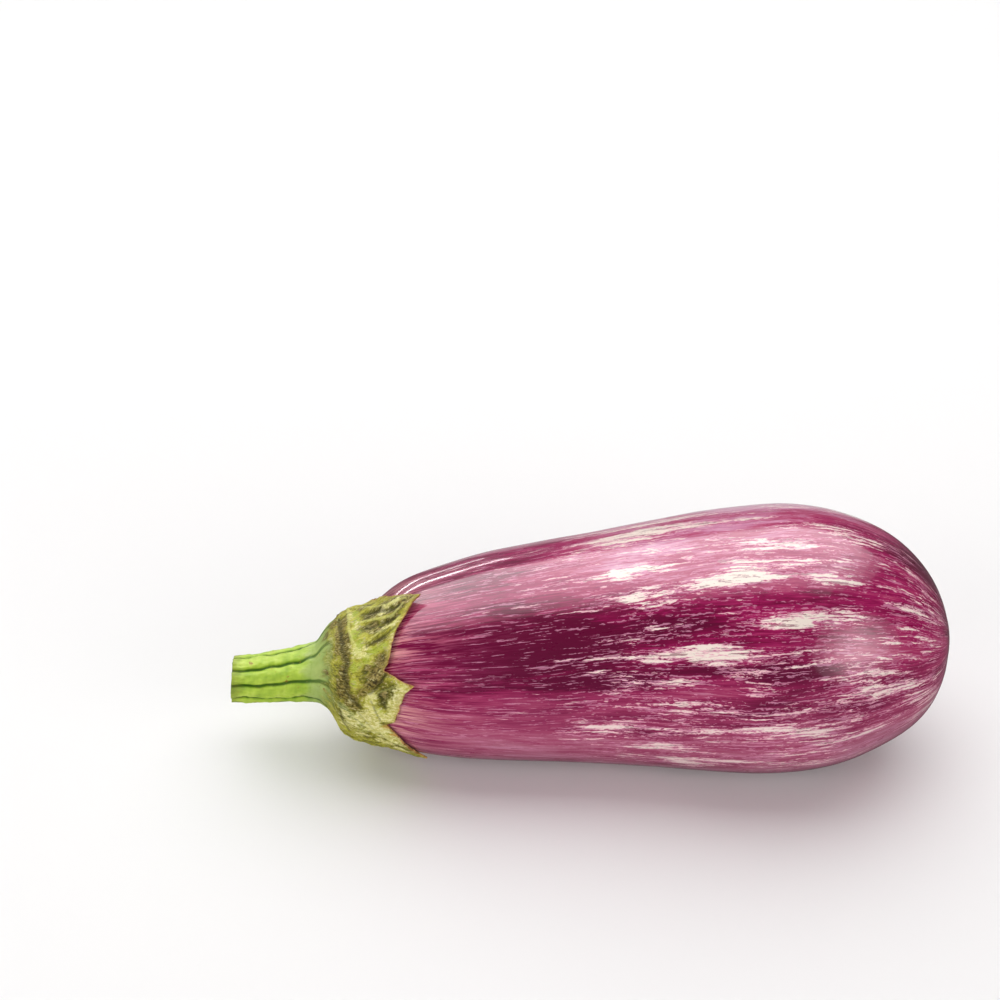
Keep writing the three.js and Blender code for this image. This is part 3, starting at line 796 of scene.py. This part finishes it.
vo = np.linspace(0, 1, CO) ** 0.95
SO = so_m[None, :] * vo[:, None]
PC = np.repeat(phic[None, :], CO, 0)
X_, r_, y_, z_ = calyx_p(SO)
psi_c = np.degrees(PC) - 53.6
to_edge = so_m[None, :] - SO                      # mm to the margin
dc = drum(PC, SO, 20.0)

# creases and ridges are laid where the photograph shows them, then carried round the hidden side
base_c = np.stack([X_, y_ + r_ * np.cos(PC), z_ + r_ * np.sin(PC)], -1) + SHIFT
du = np.gradient(base_c, axis=0)
dv = np.roll(base_c, -1, 1) - np.roll(base_c, 1, 1)
nc_ = unit(np.cross(dv, du) + 1e-9)
nc_ *= np.sign(np.sum(nc_ * np.stack([0 * PC - 0.3, np.cos(PC), np.sin(PC)], -1), -1))[..., None]
front_c = np.sum(nc_ * (EYE - base_c), -1) > 0
UC, VC = pixel(base_c)
RC = 22.0


def on_calyx(px, py):
    q = (UC - px) ** 2 + (VC - py) ** 2 + np.where(front_c, 0, 1e9)
    i = np.unravel_index(np.argmin(q), q.shape)
    return SO[i], PC[i]


def near_line(line):
    """Distance in mm to a polyline of (s, phi) points."""
    best = np.full_like(SO, 1e9)
    for (s0, p0), (s1, p1) in zip(line[:-1], line[1:]):
        a = (np.remainder(PC - p0 + np.pi, 2 * np.pi) - np.pi) * RC
        b = (((p1 - p0) + np.pi) % (2 * np.pi) - np.pi) * RC
        ds = s1 - s0
        w = np.clip(((SO - s0) * ds + a * b) / max(ds * ds + b * b, 1e-6), 0, 1)
        best = np.minimum(best, np.hypot(SO - s0 - w * ds, a - w * b))
    return best


def drawn(points):
    return [on_calyx(*q) for q in points]


# ridges and grooves also set the colour: painted highlight on ridges, painted shade in grooves
ridges, grooves = np.zeros_like(SO), np.zeros_like(SO)
relief = np.zeros_like(SO)


def ridge(line, high, wide):
    global ridges, relief
    g_ = np.exp(-(near_line(line) / wide) ** 2)
    ridges = np.maximum(ridges, g_ * min(1, high / 0.5))
    relief = relief + high * g_


def groove(line, deep, wide):
    global grooves, relief
    g_ = np.exp(-(near_line(line) / wide) ** 2)
    grooves = np.maximum(grooves, g_ * min(1, deep / 0.5))
    relief = relief - deep * g_


# raised rim where the plates start, then ribs and creases of the upper lobe
ridge(drawn([(346.5, 608), (348.6, 618.3), (349.0, 631), (351, 640.2), (355.6, 649.4), (359, 655.1), (368, 657.5)]), 0.60, 0.75)
ridge(drawn([(355, 607.5), (364.8, 609.1), (385.5, 606.8), (408.4, 601.0)]), 0.40, 0.70)
ridge(drawn([(360.2, 622.9), (370, 620.2), (378.6, 619.0), (392.4, 617.0), (404, 606)]), 0.45, 0.65)
ridge(drawn([(367, 642.5), (378.6, 633.3), (392.4, 624.2), (401, 617)]), 0.40, 0.65)
ridge(drawn([(357, 633), (366, 634), (378, 627.5)]), 0.30, 0.7)
ridge(drawn([(362, 651), (376, 648), (388, 640), (398, 628)]), 0.22, 1.0)
ridge(drawn([(357, 666), (366, 663), (375, 665)]), 0.30, 0.9)
groove(drawn([(362.8, 614.2), (376.3, 611.7), (390, 611.0), (402.4, 606.8)]), 0.50, 0.75)
groove(drawn([(365, 627.5), (378.6, 624.0), (392.4, 620.3), (400.7, 615.4)]), 0.45, 0.65)
groove(drawn([(369.4, 645.0), (379.7, 638.7), (390, 631.8), (397, 626.2)]), 0.45, 0.55)
groove(drawn([(373, 650.0), (382, 644.0), (391, 637.0)]), 0.30, 0.45)
groove(drawn([(366.5, 641), (366.9, 647.5)]), 0.40, 0.6)
groove(drawn([(371, 672), (377, 664), (384, 652)]), 0.30, 0.7)
# middle lobe
ridge(drawn([(363, 705), (372, 697), (382, 690.5), (396, 687.5), (411, 685.3)]), 0.35, 0.70)
ridge(drawn([(369.4, 697), (376, 706), (383, 716.9)]), 0.35, 0.70)
groove(drawn([(379.5, 693), (382, 699), (386.2, 708.8)]), 0.45, 0.65)
groove(drawn([(371, 701), (375, 711), (380, 721)]), 0.35, 0.60)
groove(drawn([(392, 693), (396, 702), (397, 712)]), 0.22, 0.70)
ridge(drawn([(388, 695), (391, 705), (391, 718)]), 0.25, 0.75)
# lower lobe and the collar's folds
ridge(drawn([(352, 712), (362, 722), (376, 731), (395, 742)]), 0.35, 0.9)
groove(drawn([(340, 712), (343, 722), (349, 730)]), 0.40, 0.9)
groove(drawn([(358, 712), (370, 726), (384, 736)]), 0.28, 0.7)
groove(drawn([(345, 690), (352, 701), (361, 708)]), 0.45, 0.9)
groove(drawn([(338, 618), (341, 634), (343, 650), (348, 663), (345, 676), (347, 688)]), 0.42, 1.3)
ridge(drawn([(333, 625), (335, 640), (336, 655)]), 0.25, 1.0)
ridge(drawn([(331, 683), (336, 694), (343, 706)]), 0.25, 0.9)
rng = np.random.RandomState(5)
for tip in (233.6, 303.6, 371.6, 420.0):
    tip_s = float(np.interp(tip % 360, degc, so_m))
    for k in range(7):
        off = rng.uniform(-20, 20)
        s0 = rng.uniform(9, 14)
        s1 = s0 + rng.uniform(8, 15)
        p0 = math.radians(tip + off * 1.15)
        p1 = math.radians(tip + off * max(0.15, 1 - (s1 / tip_s)))
        if tip < 240 and tip + off < 226:
            continue
        line = [(s0, p0), ((s0 + s1) / 2, (p0 + p1) / 2 + rng.uniform(-0.05, 0.05)), (min(s1, tip_s - 1), p1)]
        if k % 2:
            ridge(line, rng.uniform(0.2, 0.45), rng.uniform(0.5, 0.9))
        else:
            groove(line, rng.uniform(0.25, 0.5), rng.uniform(0.45, 0.8))
    ridge([(11.5, math.radians(tip - 24)), (12.4, math.radians(tip)), (11.3, math.radians(tip + 22))], 0.40, 0.8)

# the upper lobe's lower edge folds over the middle lobe
fold = drawn([(385.0, 673.0), (383.2, 676.5), (376.3, 687.0), (369.4, 691.5), (361, 692.5)])
fs = np.array([q[0] for q in fold])
fp = np.array([q[1] for q in fold])
order = np.argsort(fs)
line_phi = np.interp(SO, fs[order], fp[order])
d_fold = (line_phi - PC) * RC
reach = smooth(SO, fs.min() - 1.0, fs.min() + 5.0)
over = reach * smooth(d_fold, -0.10, 0.35) * np.exp(-(np.clip(d_fold, 0, None) / 5.5) ** 2) * np.exp(-(np.clip(-d_fold, 0, None) / 0.2) ** 2)
# the strip under the fold is sunk a little and also darkened in colour as painted shade
under_fold = reach * np.exp(-((d_fold + 0.6) / 0.9) ** 2)
relief = relief + 0.95 * over - 0.35 * under_fold

wrinkle = fbm(dc * [0.26, 0.26, 0.18], 4, 41)
crease = np.clip(1 - np.abs(noise(dc * [0.34, 0.34, 0.17], 47)) * 2.4, 0, 1) ** 2
fine = fbm(dc * [1.0, 1.0, 0.6], 2, 71)
line_s = 12.3
plate = smooth(SO, line_s - 2, line_s + 2)
h = relief + (0.22 + 0.10 * plate) * wrinkle + 0.20 * crease * plate + 0.07 * fine + (1 - plate) * 0.35 * fbm(dc * [0.20, 0.20, 0.22], 3, 53)
widen = smooth(X_, -79.6, -75.5)
rad_stalk, g_c = stalk_radius(np.minimum(X_, -76.2), PC)
rad_c = (rad_stalk + 0.02 - 0.40 * smooth(X_, -80.9, -81.3)) * (1 - widen) + (r_ + h) * widen
outer = np.stack([X_, y_ + rad_c * np.cos(PC), z_ + rad_c * np.sin(PC)], -1) + SHIFT

# near the margin the sheet thins down and follows the skin, a little raised, with lifted tips
skin_t = fruit_p.where(X_)
skin_pt = fruit_point(skin_t, PC)
skin_n = fruit_normal(skin_t, PC)
above = np.sum((outer - skin_pt) * skin_n, -1)
LIFTS = ((102.8, 1.8, 8.0, 6.5), (157.2, 1.1, 6.0, 5.0), (233.6, 0.6, 7.0, 5.0), (303.6, 1.4, 9.0, 6.5), (8.6, 0.6, 9.0, 6.0))


def lifted(phi_deg, dist):
    out = 0.0 * dist
    for tip, amount, wide, reach_ in LIFTS:
        d = wrap(phi_deg - tip)
        out = np.maximum(out, amount * np.exp(-(d / wide) ** 2) * np.exp(-(dist / reach_) ** 2))
    # the margin of the upper lobe stands a little off the skin
    d = wrap(phi_deg - 122)
    return out + 0.45 * np.exp(-(d / 18) ** 4) * np.exp(-(dist / 3.0) ** 2) + 0.25 * np.exp(-(dist / 2.5) ** 2) * (0.5 + 0.5 * np.sin(np.radians(phi_deg) * 9 + 1))


lift = lifted(np.degrees(PC), to_edge)
curl = 0.22 * np.exp(-(to_edge / 1.4) ** 2) * (0.6 + 0.8 * noise(ring * 0.2, 12)[None, :])
thin = smooth(to_edge, 7.0, 0.0)
target = 0.68 + 0.32 * smooth(to_edge, 0.0, 3.0) + 0.75 * h + lift + curl
newh = (above + lift) * (1 - thin) + np.maximum(target, 0.55 + lift) * thin
newh = np.maximum(newh, np.where(to_edge < 16, lift * 0.95 + 0.50, newh))
outer = outer + skin_n * (newh - above)[..., None]

edge = outer[-1]
TIN = ti_m[None, :] * (1 - np.linspace(0, 1, CI + 1)[:-1])[:, None] ** 0.9
PI_ = np.repeat(phic[None, :], CI, 0)
dist_in = ti_m[None, :] - TIN
lift_in = lifted(np.degrees(PI_), dist_in)
inner = fruit_point(TIN, PI_) + fruit_normal(TIN, PI_) * (lift_in * 0.95 + 0.22)[..., None]
mid_edge = 0.5 * (edge + inner[0]) + unit(edge - outer[-2]) * 0.20
ch = outer[0].mean(0)
rows_c = np.concatenate([outer, mid_edge[None], inner[:-1]])
ni = len(dist_in) - 1
zero = np.zeros((ni, CC))


def carry(a, inside=0.0):
    return np.concatenate([a, a[-1:], zero + inside])


s_all = np.concatenate([SO, SO[-1:], SO[-1:] - dist_in[:-1]])
e_all = np.concatenate([to_edge, 0 * to_edge[:1], dist_in[:-1]])


def spots(items):
    """Soft marks laid at places in the frame: x, y, half length along, half width across (mm), strength."""
    out = np.zeros_like(SO)
    for px, py, ls, lp, st in items:
        s0, p0 = on_calyx(px, py)
        a = (np.remainder(PC - p0 + np.pi, 2 * np.pi) - np.pi) * np.maximum(r_, 9)
        out = np.maximum(out, st * np.exp(-((SO - s0) / ls) ** 2 - (a / lp) ** 2))
    return out


brown = spots([
    (334, 624, 2.2, 3.0, 0.9), (343, 623, 2.0, 3.4, 1.0), (339.5, 634, 2.2, 3.2, 1.0), (341, 645, 2.0, 3.4, 1.0),
    (345, 654, 2.2, 2.8, 0.8), (326, 636, 1.4, 1.6, 0.9), (343, 672, 2.0, 2.6, 0.7), (341, 688, 2.0, 3.2, 1.0),
    (351, 700, 2.6, 2.4, 0.9), (355, 707, 2.4, 1.6, 0.6), (326, 672, 1.4, 1.4, 0.5), (363, 693, 2.6, 1.8, 0.6),
    (370, 686, 2.4, 1.6, 0.8), (347, 663, 1.6, 2.4, 0.6), (377, 672, 2.8, 2.0, 0.8), (383, 660, 1.6, 2.8, 0.7),
    (408, 600, 2.8, 1.3, 1.0), (398, 600, 2.2, 1.0, 0.6), (337, 614, 2.2, 2.2, 0.8), (369, 717, 1.6, 1.0, 0.6), (417, 751, 2.8, 1.4, 0.6),
    (346, 688, 1.8, 2.8, 1.0), (345, 680, 1.8, 2.4, 0.8), (337, 650, 1.6, 2.6, 0.6), (378, 681, 2.0, 1.2, 0.9), (346, 640, 1.6, 2.6, 0.8),
])
olive = spots([
    (376, 612, 4.6, 1.7, 1.0), (369, 627, 3.4, 1.6, 1.0), (388, 611, 3.4, 1.4, 0.9), (400, 608, 2.6, 1.6, 1.0), (405, 603, 2.4, 1.4, 1.0), (394, 602, 2.6, 1.2, 0.8), (384, 604, 2.6, 1.0, 0.5),
    (379, 629, 3.0, 1.2, 0.8), (364, 608, 2.4, 1.2, 0.7), (391, 619, 3.0, 1.0, 0.8), (380, 641, 3.2, 0.8, 0.8),
    (385, 695, 1.9, 1.8, 0.75), (384, 702, 1.5, 2.2, 0.6), (394, 688, 2.4, 1.2, 0.5), (380, 667, 2.4, 3.4, 0.8),
    (374, 679, 2.4, 1.8, 0.7), (345, 716, 2.0, 1.6, 0.3), (366, 668, 2.0, 1.4, 0.4),
])
# lime marks: partly the lobes' own colour, partly painted light on the raised rim and on the middle and lower lobes
# that face the front light
lime_and_lit = spots([
    (354.5, 614, 1.8, 2.2, 0.9), (354, 634, 2.0, 2.6, 1.0), (359, 645, 2.0, 2.4, 0.9), (374, 650, 4.2, 1.8, 0.8),
    (354, 668, 2.0, 2.6, 0.8), (353, 684, 1.6, 2.2, 0.8), (396, 631, 2.2, 2.2, 0.9), (360, 664, 2.4, 1.6, 0.7),
    (370, 700, 2.2, 2.0, 0.6), (378, 711, 2.4, 2.0, 0.7), (392, 717, 2.0, 2.0, 0.6), (380, 732, 4.0, 1.6, 0.7),
    (405, 691, 1.6, 1.2, 0.5), (365, 636, 2.2, 1.6, 0.5), (356, 622, 1.6, 2.4, 1.0), (361, 632, 2.0, 1.6, 0.9), (357, 653, 1.8, 2.0, 1.0),
    (366, 660, 2.6, 1.4, 0.8), (384, 646, 3.0, 1.4, 0.9),
])
sage_f = spots([
    (331, 643, 1.6, 2.6, 0.8), (330, 655, 1.8, 2.6, 0.8), (328, 666, 1.6, 2.2, 0.7), (343, 707, 2.6, 1.8, 0.9),
    (351, 715, 3.2, 1.8, 1.0), (359, 723, 3.0, 1.6, 0.8), (333, 700, 1.6, 2.4, 0.5), (367, 655, 2.2, 0.9, 0.5),
    (366, 731, 4.0, 1.4, 0.5),
])
# pale marks: partly the lobes' own pale colour, partly painted light on the middle and lower lobes and painted
# highlight along ridges
pale_and_lit = spots([
    (398, 700, 1.8, 3.2, 1.0), (396, 713, 2.2, 2.2, 1.0), (389, 718, 2.2, 1.6, 0.9), (391, 705, 1.4, 2.4, 0.8),
    (370, 705, 1.6, 2.6, 0.9), (377, 717, 2.2, 2.0, 0.8), (372, 697, 2.0, 1.2, 0.6), (405, 688, 1.8, 1.6, 0.8),
    (365, 717, 3.2, 1.8, 0.9), (378, 729, 3.6, 1.8, 1.0), (392, 738, 3.6, 1.6, 0.9), (403, 745, 3.0, 1.2, 0.5),
    (352, 722, 3.0, 2.0, 0.7), (350, 615, 1.0, 3.0, 0.5), (354, 650, 1.6, 1.2, 0.5), (394, 604, 4.0, 0.8, 0.6),
    (388, 627, 3.6, 0.8, 0.6), (395, 640, 1.6, 2.4, 0.6), (360, 655, 2.0, 1.0, 0.7), (385, 613, 2.4, 0.7, 0.6),
    (366, 648, 1.6, 1.0, 0.5), (345, 712, 2.0, 1.4, 0.6), (356, 625, 1.4, 1.6, 0.4),
    (362, 734, 2.6, 1.6, 0.5), (386, 742, 3.2, 1.4, 0.8), (401, 749, 2.6, 1.2, 0.7), (372, 724, 2.6, 1.4, 0.9), (345, 724, 2.0, 1.4, 0.5),
])
orange = spots([(388, 727, 2.4, 0.9, 0.9), (397, 734, 2.6, 0.8, 0.8), (411, 686, 1.4, 0.9, 0.6), (408, 744, 2.4, 0.6, 0.5)])
# hidden side: the same marks by a seeded draw
rng = np.random.RandomState(9)
for _ in range(44):
    p0 = math.radians(rng.uniform(238, 410))
    s0 = rng.uniform(3, 28)
    a = (np.remainder(PC - p0 + np.pi, 2 * np.pi) - np.pi) * np.maximum(r_, 9)
    f_ = rng.uniform(0.5, 1.0) * np.exp(-((SO - s0) / rng.uniform(1.6, 3.6)) ** 2 - (a / rng.uniform(1.2, 3.0)) ** 2)
    k = rng.rand()
    if s0 < 12 and k < 0.6:
        brown = np.maximum(brown, f_)
    elif k < 0.45:
        olive = np.maximum(olive, f_)
    elif k < 0.8:
        lime_and_lit = np.maximum(lime_and_lit, f_)
    elif s0 < 16:
        sage_f = np.maximum(sage_f, f_)

calyx = grid_mesh("calyx_lobes", rows_c, start=ch + np.array([0.3, 0, 0]), end=fruit_point(np.array(0.01), np.array(0.0)) - np.array([0.2, 0, 0]),
                  attrs={"sk": drum(np.repeat(phic[None, :], len(rows_c), 0), s_all, 20.0),
                         "ax": drum(np.repeat(phic[None, :], len(rows_c), 0), carry(X_), 7.5), "gr": carry(g_c),
                         "ca": np.stack([e_all, carry(ridges), carry(np.maximum(grooves, under_fold))], -1),
                         "cb": np.stack([carry(brown), carry(olive), carry(lime_and_lit)], -1),
                         "pale": carry(pale_and_lit),
                         "cc": np.stack([carry(sage_f), carry(orange), np.concatenate([0 * SO, 0 * SO[:1], zero + 1])], -1)})


def calyx_material():
    m = Mat("calyx_green")
    stalk_col, stalk_rough, stalk_h, sn2 = stalk_nodes(m)
    sk = m.attr("sk")
    x, y, s = m.split(sk)
    ed, ri, gv = m.split(m.attr("ca"))
    br, ol, lm = m.split(m.attr("cb"))
    sg, og, un = m.split(m.attr("cc"))
    n1 = m.noise(m.scale(sk, (0.13, 0.13, 0.11)), detail=3.0, rough=0.6, off=(4, 0, 0))
    n2 = m.noise(m.scale(sk, (0.50, 0.50, 0.32)), detail=4.0, rough=0.68, off=(0, 6, 0))
    n3 = m.noise(m.scale(sk, (1.7, 1.7, 0.85)), detail=4.0, rough=0.65, off=(0, 0, 3))
    n4 = m.noise(m.scale(sk, (0.9, 0.9, 0.30)), detail=3.0, rough=0.6, off=(7, 7, 7))
    t1 = m.add(m.mul(n1, 0.40), m.mul(n2, 0.45), m.mul(n3, 0.35), m.mul(lm, 0.16), m.mul(ol, -0.14))
    green = m.ramp(t1, [(0.45, rgb("454408")), (0.54, rgb("7b7818")), (0.62, rgb("b0ac32")), (0.71, rgb("d2cc56")), (0.84, rgb("eae29a"))])
    # lime green, partly painted light
    limey = m.step(m.add(lm, m.mad(n2, 0.8, -0.4)), 0.35, 0.75)
    col = m.mix(m.mul(limey, 0.60), green, m.mix(n3, rgb("7c9c14"), rgb("bdd044")))
    # olive mottling in flecks, with tan skin between
    mot = m.step(m.add(m.mul(ol, 0.80), m.mad(n2, 1.5, -0.75), m.mad(n3, 1.4, -0.70), m.mad(n4, 0.9, -0.45)), 0.16, 0.42)
    col = m.mix(m.mul(mot, 0.85), col, m.mix(m.step(n3, 0.38, 0.62), rgb("37360a"), rgb("766a24")))
    tan = m.step(m.add(m.mul(ol, 0.42), m.mul(br, 0.34), m.mad(n4, 1.9, -0.95), m.mad(n3, 1.1, -0.55)), 0.32, 0.50)
    col = m.mix(m.mul(tan, 0.55), col, rgb("b8a264"))
    # brown of the collar
    bm = m.step(m.add(m.mul(br, 1.05), m.mad(n2, 1.3, -0.65), m.mad(n3, 1.1, -0.55)), 0.22, 0.52)
    col = m.mix(m.mul(bm, 0.86), col, m.mix(m.step(n3, 0.40, 0.60), rgb("352808"), rgb("93803a")))
    sgm = m.step(m.add(sg, m.mad(n2, 1.3, -0.65), m.mad(n3, 0.6, -0.3), m.mul(bm, -0.3)), 0.20, 0.62)
    col = m.mix(m.mul(sgm, 0.52), col, m.mix(m.step(n3, 0.36, 0.64), rgb("8b9c48"), rgb("d2d694")))
    # pale marks, partly painted light
    pf = m.attr("pale", "Fac")
    pm = m.step(m.add(pf, m.mad(n2, 1.2, -0.60), m.mad(n3, 0.9, -0.45)), 0.06, 0.50)
    col = m.mix(m.mul(pm, 0.84), col, m.mix(m.step(n3, 0.36, 0.64), rgb("c9c252"), rgb("faf4b8")))
    # painted shade darkens the creases and the strip under the fold, painted highlight makes the ridges pale
    crease_shade = m.step(m.add(gv, m.mad(n3, 0.7, -0.35)), 0.30, 0.90)
    col = m.mix(m.mul(crease_shade, 0.62), col, rgb("33310f"))
    ridge_highlight = m.step(m.add(ri, m.mad(n3, 0.6, -0.3)), 0.38, 0.95)
    col = m.mix(m.mul(ridge_highlight, 0.58), col, rgb("dcdc7e"))
    col = m.mix(m.mul(m.step(m.add(og, m.mad(n2, 0.8, -0.4)), 0.25, 0.7), 0.75), col, rgb("cf9636"))
    # fine grain of the hide
    n5 = m.noise(m.scale(sk, (2.4, 2.4, 1.1)), detail=4.0, rough=0.7, off=(13, 2, 5))
    n6 = m.noise(m.scale(sk, (2.0, 2.0, 0.9)), detail=4.0, rough=0.7, off=(3, 22, 5))
    col = m.mix(m.mul(m.step(n5, 0.53, 0.66), m.mad(pm, -0.24, 0.42)), col, rgb("4f4a12"))
    col = m.mix(m.mul(m.step(n6, 0.56, 0.68), 0.38), col, rgb("e8e29c"))
    # dry margin
    near = m.step(m.add(ed, m.mad(n2, 3.4, -1.7)), 2.4, 0.5)
    col = m.mix(m.mul(near, 0.38), col, m.mix(n3, rgb("a5822e"), rgb("c8bd62")))
    em = m.step(m.add(ed, m.mad(n3, 0.7, -0.35)), 0.46, 0.05)
    col = m.mix(m.mul(em, 0.78), col, m.mix(m.step(n2, 0.4, 0.6), rgb("8a4420"), rgb("cf9a5a")))
    # into the stalk
    to_stalk = m.step(m.add(m.split(m.attr("ax"))[2], m.mad(n2, 6.0, -3.0), m.mad(n1, 6.0, -3.0), m.mul(bm, 1.2)), -73.6, -78.2)
    col = m.mix(to_stalk, col, stalk_col)
    col = m.mix(m.mul(un, 0.8), col, rgb("a4ab68"))
    m.put(m.bsdf.inputs["Base Color"], col)
    m.put(m.bsdf.inputs["Roughness"], m.add(0.46, m.mul(n2, 0.25), m.mul(bm, 0.1)))
    h = m.add(m.mul(n3, 0.8), m.mul(n2, 0.9), m.mul(m.noise(m.scale(sk, (3.4, 3.4, 1.5)), detail=2.0), 0.4))
    h = m.add(m.mul(h, m.mad(to_stalk, -1.0, 1.0)), m.mul(m.mul(stalk_h, to_stalk), 0.28))
    m.put(m.bsdf.inputs["Normal"], m.bump(h, 0.85, 0.0010))
    m.bsdf.inputs["Specular IOR Level"].default_value = 0.30
    return m.m


calyx.data.materials.append(calyx_material())
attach(calyx, "root")
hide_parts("calyx")

# ---------------------------------------------------------------- floor and light
def make_floor():
    me = bpy.data.meshes.new("floor")
    s = 6.0
    me.from_pydata([(-s, -s, 0), (s, -s, 0), (s, s, 0), (-s, s, 0)], [], [(0, 1, 2, 3)])
    ob = bpy.data.objects.new("floor", me)
    bpy.context.scene.collection.objects.link(ob)
    m = Mat("floor_white")
    m.bsdf.inputs["Base Color"].default_value = (0.84, 0.84, 0.84, 1)
    m.bsdf.inputs["Roughness"].default_value = 0.9
    m.bsdf.inputs["Specular IOR Level"].default_value = 0.2
    me.materials.append(m.m)
    ob.visible_glossy = False


def area(name, loc, look, size, radiance, colour=(1, 1, 1), shape="RECTANGLE", mirrored=True, lit=True):
    li = bpy.data.lights.new(name, "AREA")
    li.shape = shape
    li.size, li.size_y = size
    li.energy = radiance * math.pi * size[0] * size[1] * (math.pi / 4 if shape == "ELLIPSE" else 1)
    li.color = colour
    ob = bpy.data.objects.new(name, li)
    ob.location = loc
    d = Vector(look) - Vector(loc)
    ob.rotation_euler = d.to_track_quat("-Z", "Y").to_euler()
    ob.visible_glossy = mirrored
    ob.visible_diffuse = lit
    ob.visible_camera = False
    bpy.context.scene.collection.objects.link(ob)
    return ob


make_floor()
area("overhead", (0.0, 0.50, 1.00), (0.0, 0.12, 0.0), (1.9, 1.9), 1.8, (1.0, 0.985, 0.985), mirrored=False)
for i_, (x_, w_, h_) in enumerate([(-0.375, 2.25, 1.52), (-0.155, 2.21, 1.36), (0.05, 2.20, 1.18), (0.265, 2.23, 1.00)]):
    area("overhead_sheen_%d" % i_, (x_, 1.12 - h_ / 2, 1.00 + 0.004 * i_), (x_, 0.76 - h_ / 2, 0.0), (w_, h_), 1.22, lit=False)
for i_, (x_, w_) in enumerate([(-0.73, 0.49), (-0.60, 0.75)]):
    area("back_strip_high_%d" % i_, (x_, 1.5 + 0.004 * i_, 0.52), (x_ + 0.50, 0.0, 0.05), (w_, 0.055), 10.5, lit=False)
    area("back_strip_low_%d" % i_, (x_ + 0.03, 1.5 + 0.004 * i_, 0.14), (x_ + 0.60, 0.0, 0.05), (w_ * 0.80, 0.045), 7.0, lit=False)
area("back_card", (0.12, 1.5, -0.42), (0.12, 0.0, -0.42), (0.75, 0.92), 0.45, lit=False, shape="ELLIPSE")
for i_, (w_, h_, e_) in enumerate([(1.08, 0.88, 1.2), (0.82, 0.68, 1.7), (0.56, 0.48, 1.9), (0.32, 0.28, 1.6)]):
    area("front_right_%d" % i_, (0.80 + 0.004 * i_, -0.64, 0.33), (0.05, 0.0, 0.05), (w_, h_), e_, (1.0, 0.99, 0.97), "ELLIPSE", lit=False)
area("front_right", (0.80, -0.64, 0.33), (0.05, 0.0, 0.05), (0.72, 0.62), 3.4, (1.0, 0.99, 0.97), mirrored=False)
area("front_left", (-1.05, -0.62, 0.40), (-0.02, 0.0, 0.03), (0.60, 0.55), 4.8, (1.0, 0.99, 0.97), mirrored=False)
area("front_fill", (0.0, -1.5, 0.9), (0.0, 0.0, 0.03), (2.2, 1.2), 1.15, mirrored=False)

world = bpy.data.worlds.new("studio")
world.use_nodes = True
bg = world.node_tree.nodes["Background"]
bg.inputs[0].default_value = (1, 1, 1, 1)
bg.inputs[1].default_value = 0.09
bpy.context.scene.world = world
sc = bpy.context.scene
sc.view_settings.view_transform = "Standard"
sc.view_settings.look = "None"
sc.view_settings.exposure = 0.0
sc.view_settings.gamma = 1.0
sc.cycles.use_denoising = True
sc.cycles.max_bounces = 8

bpy.context.view_layer.update()
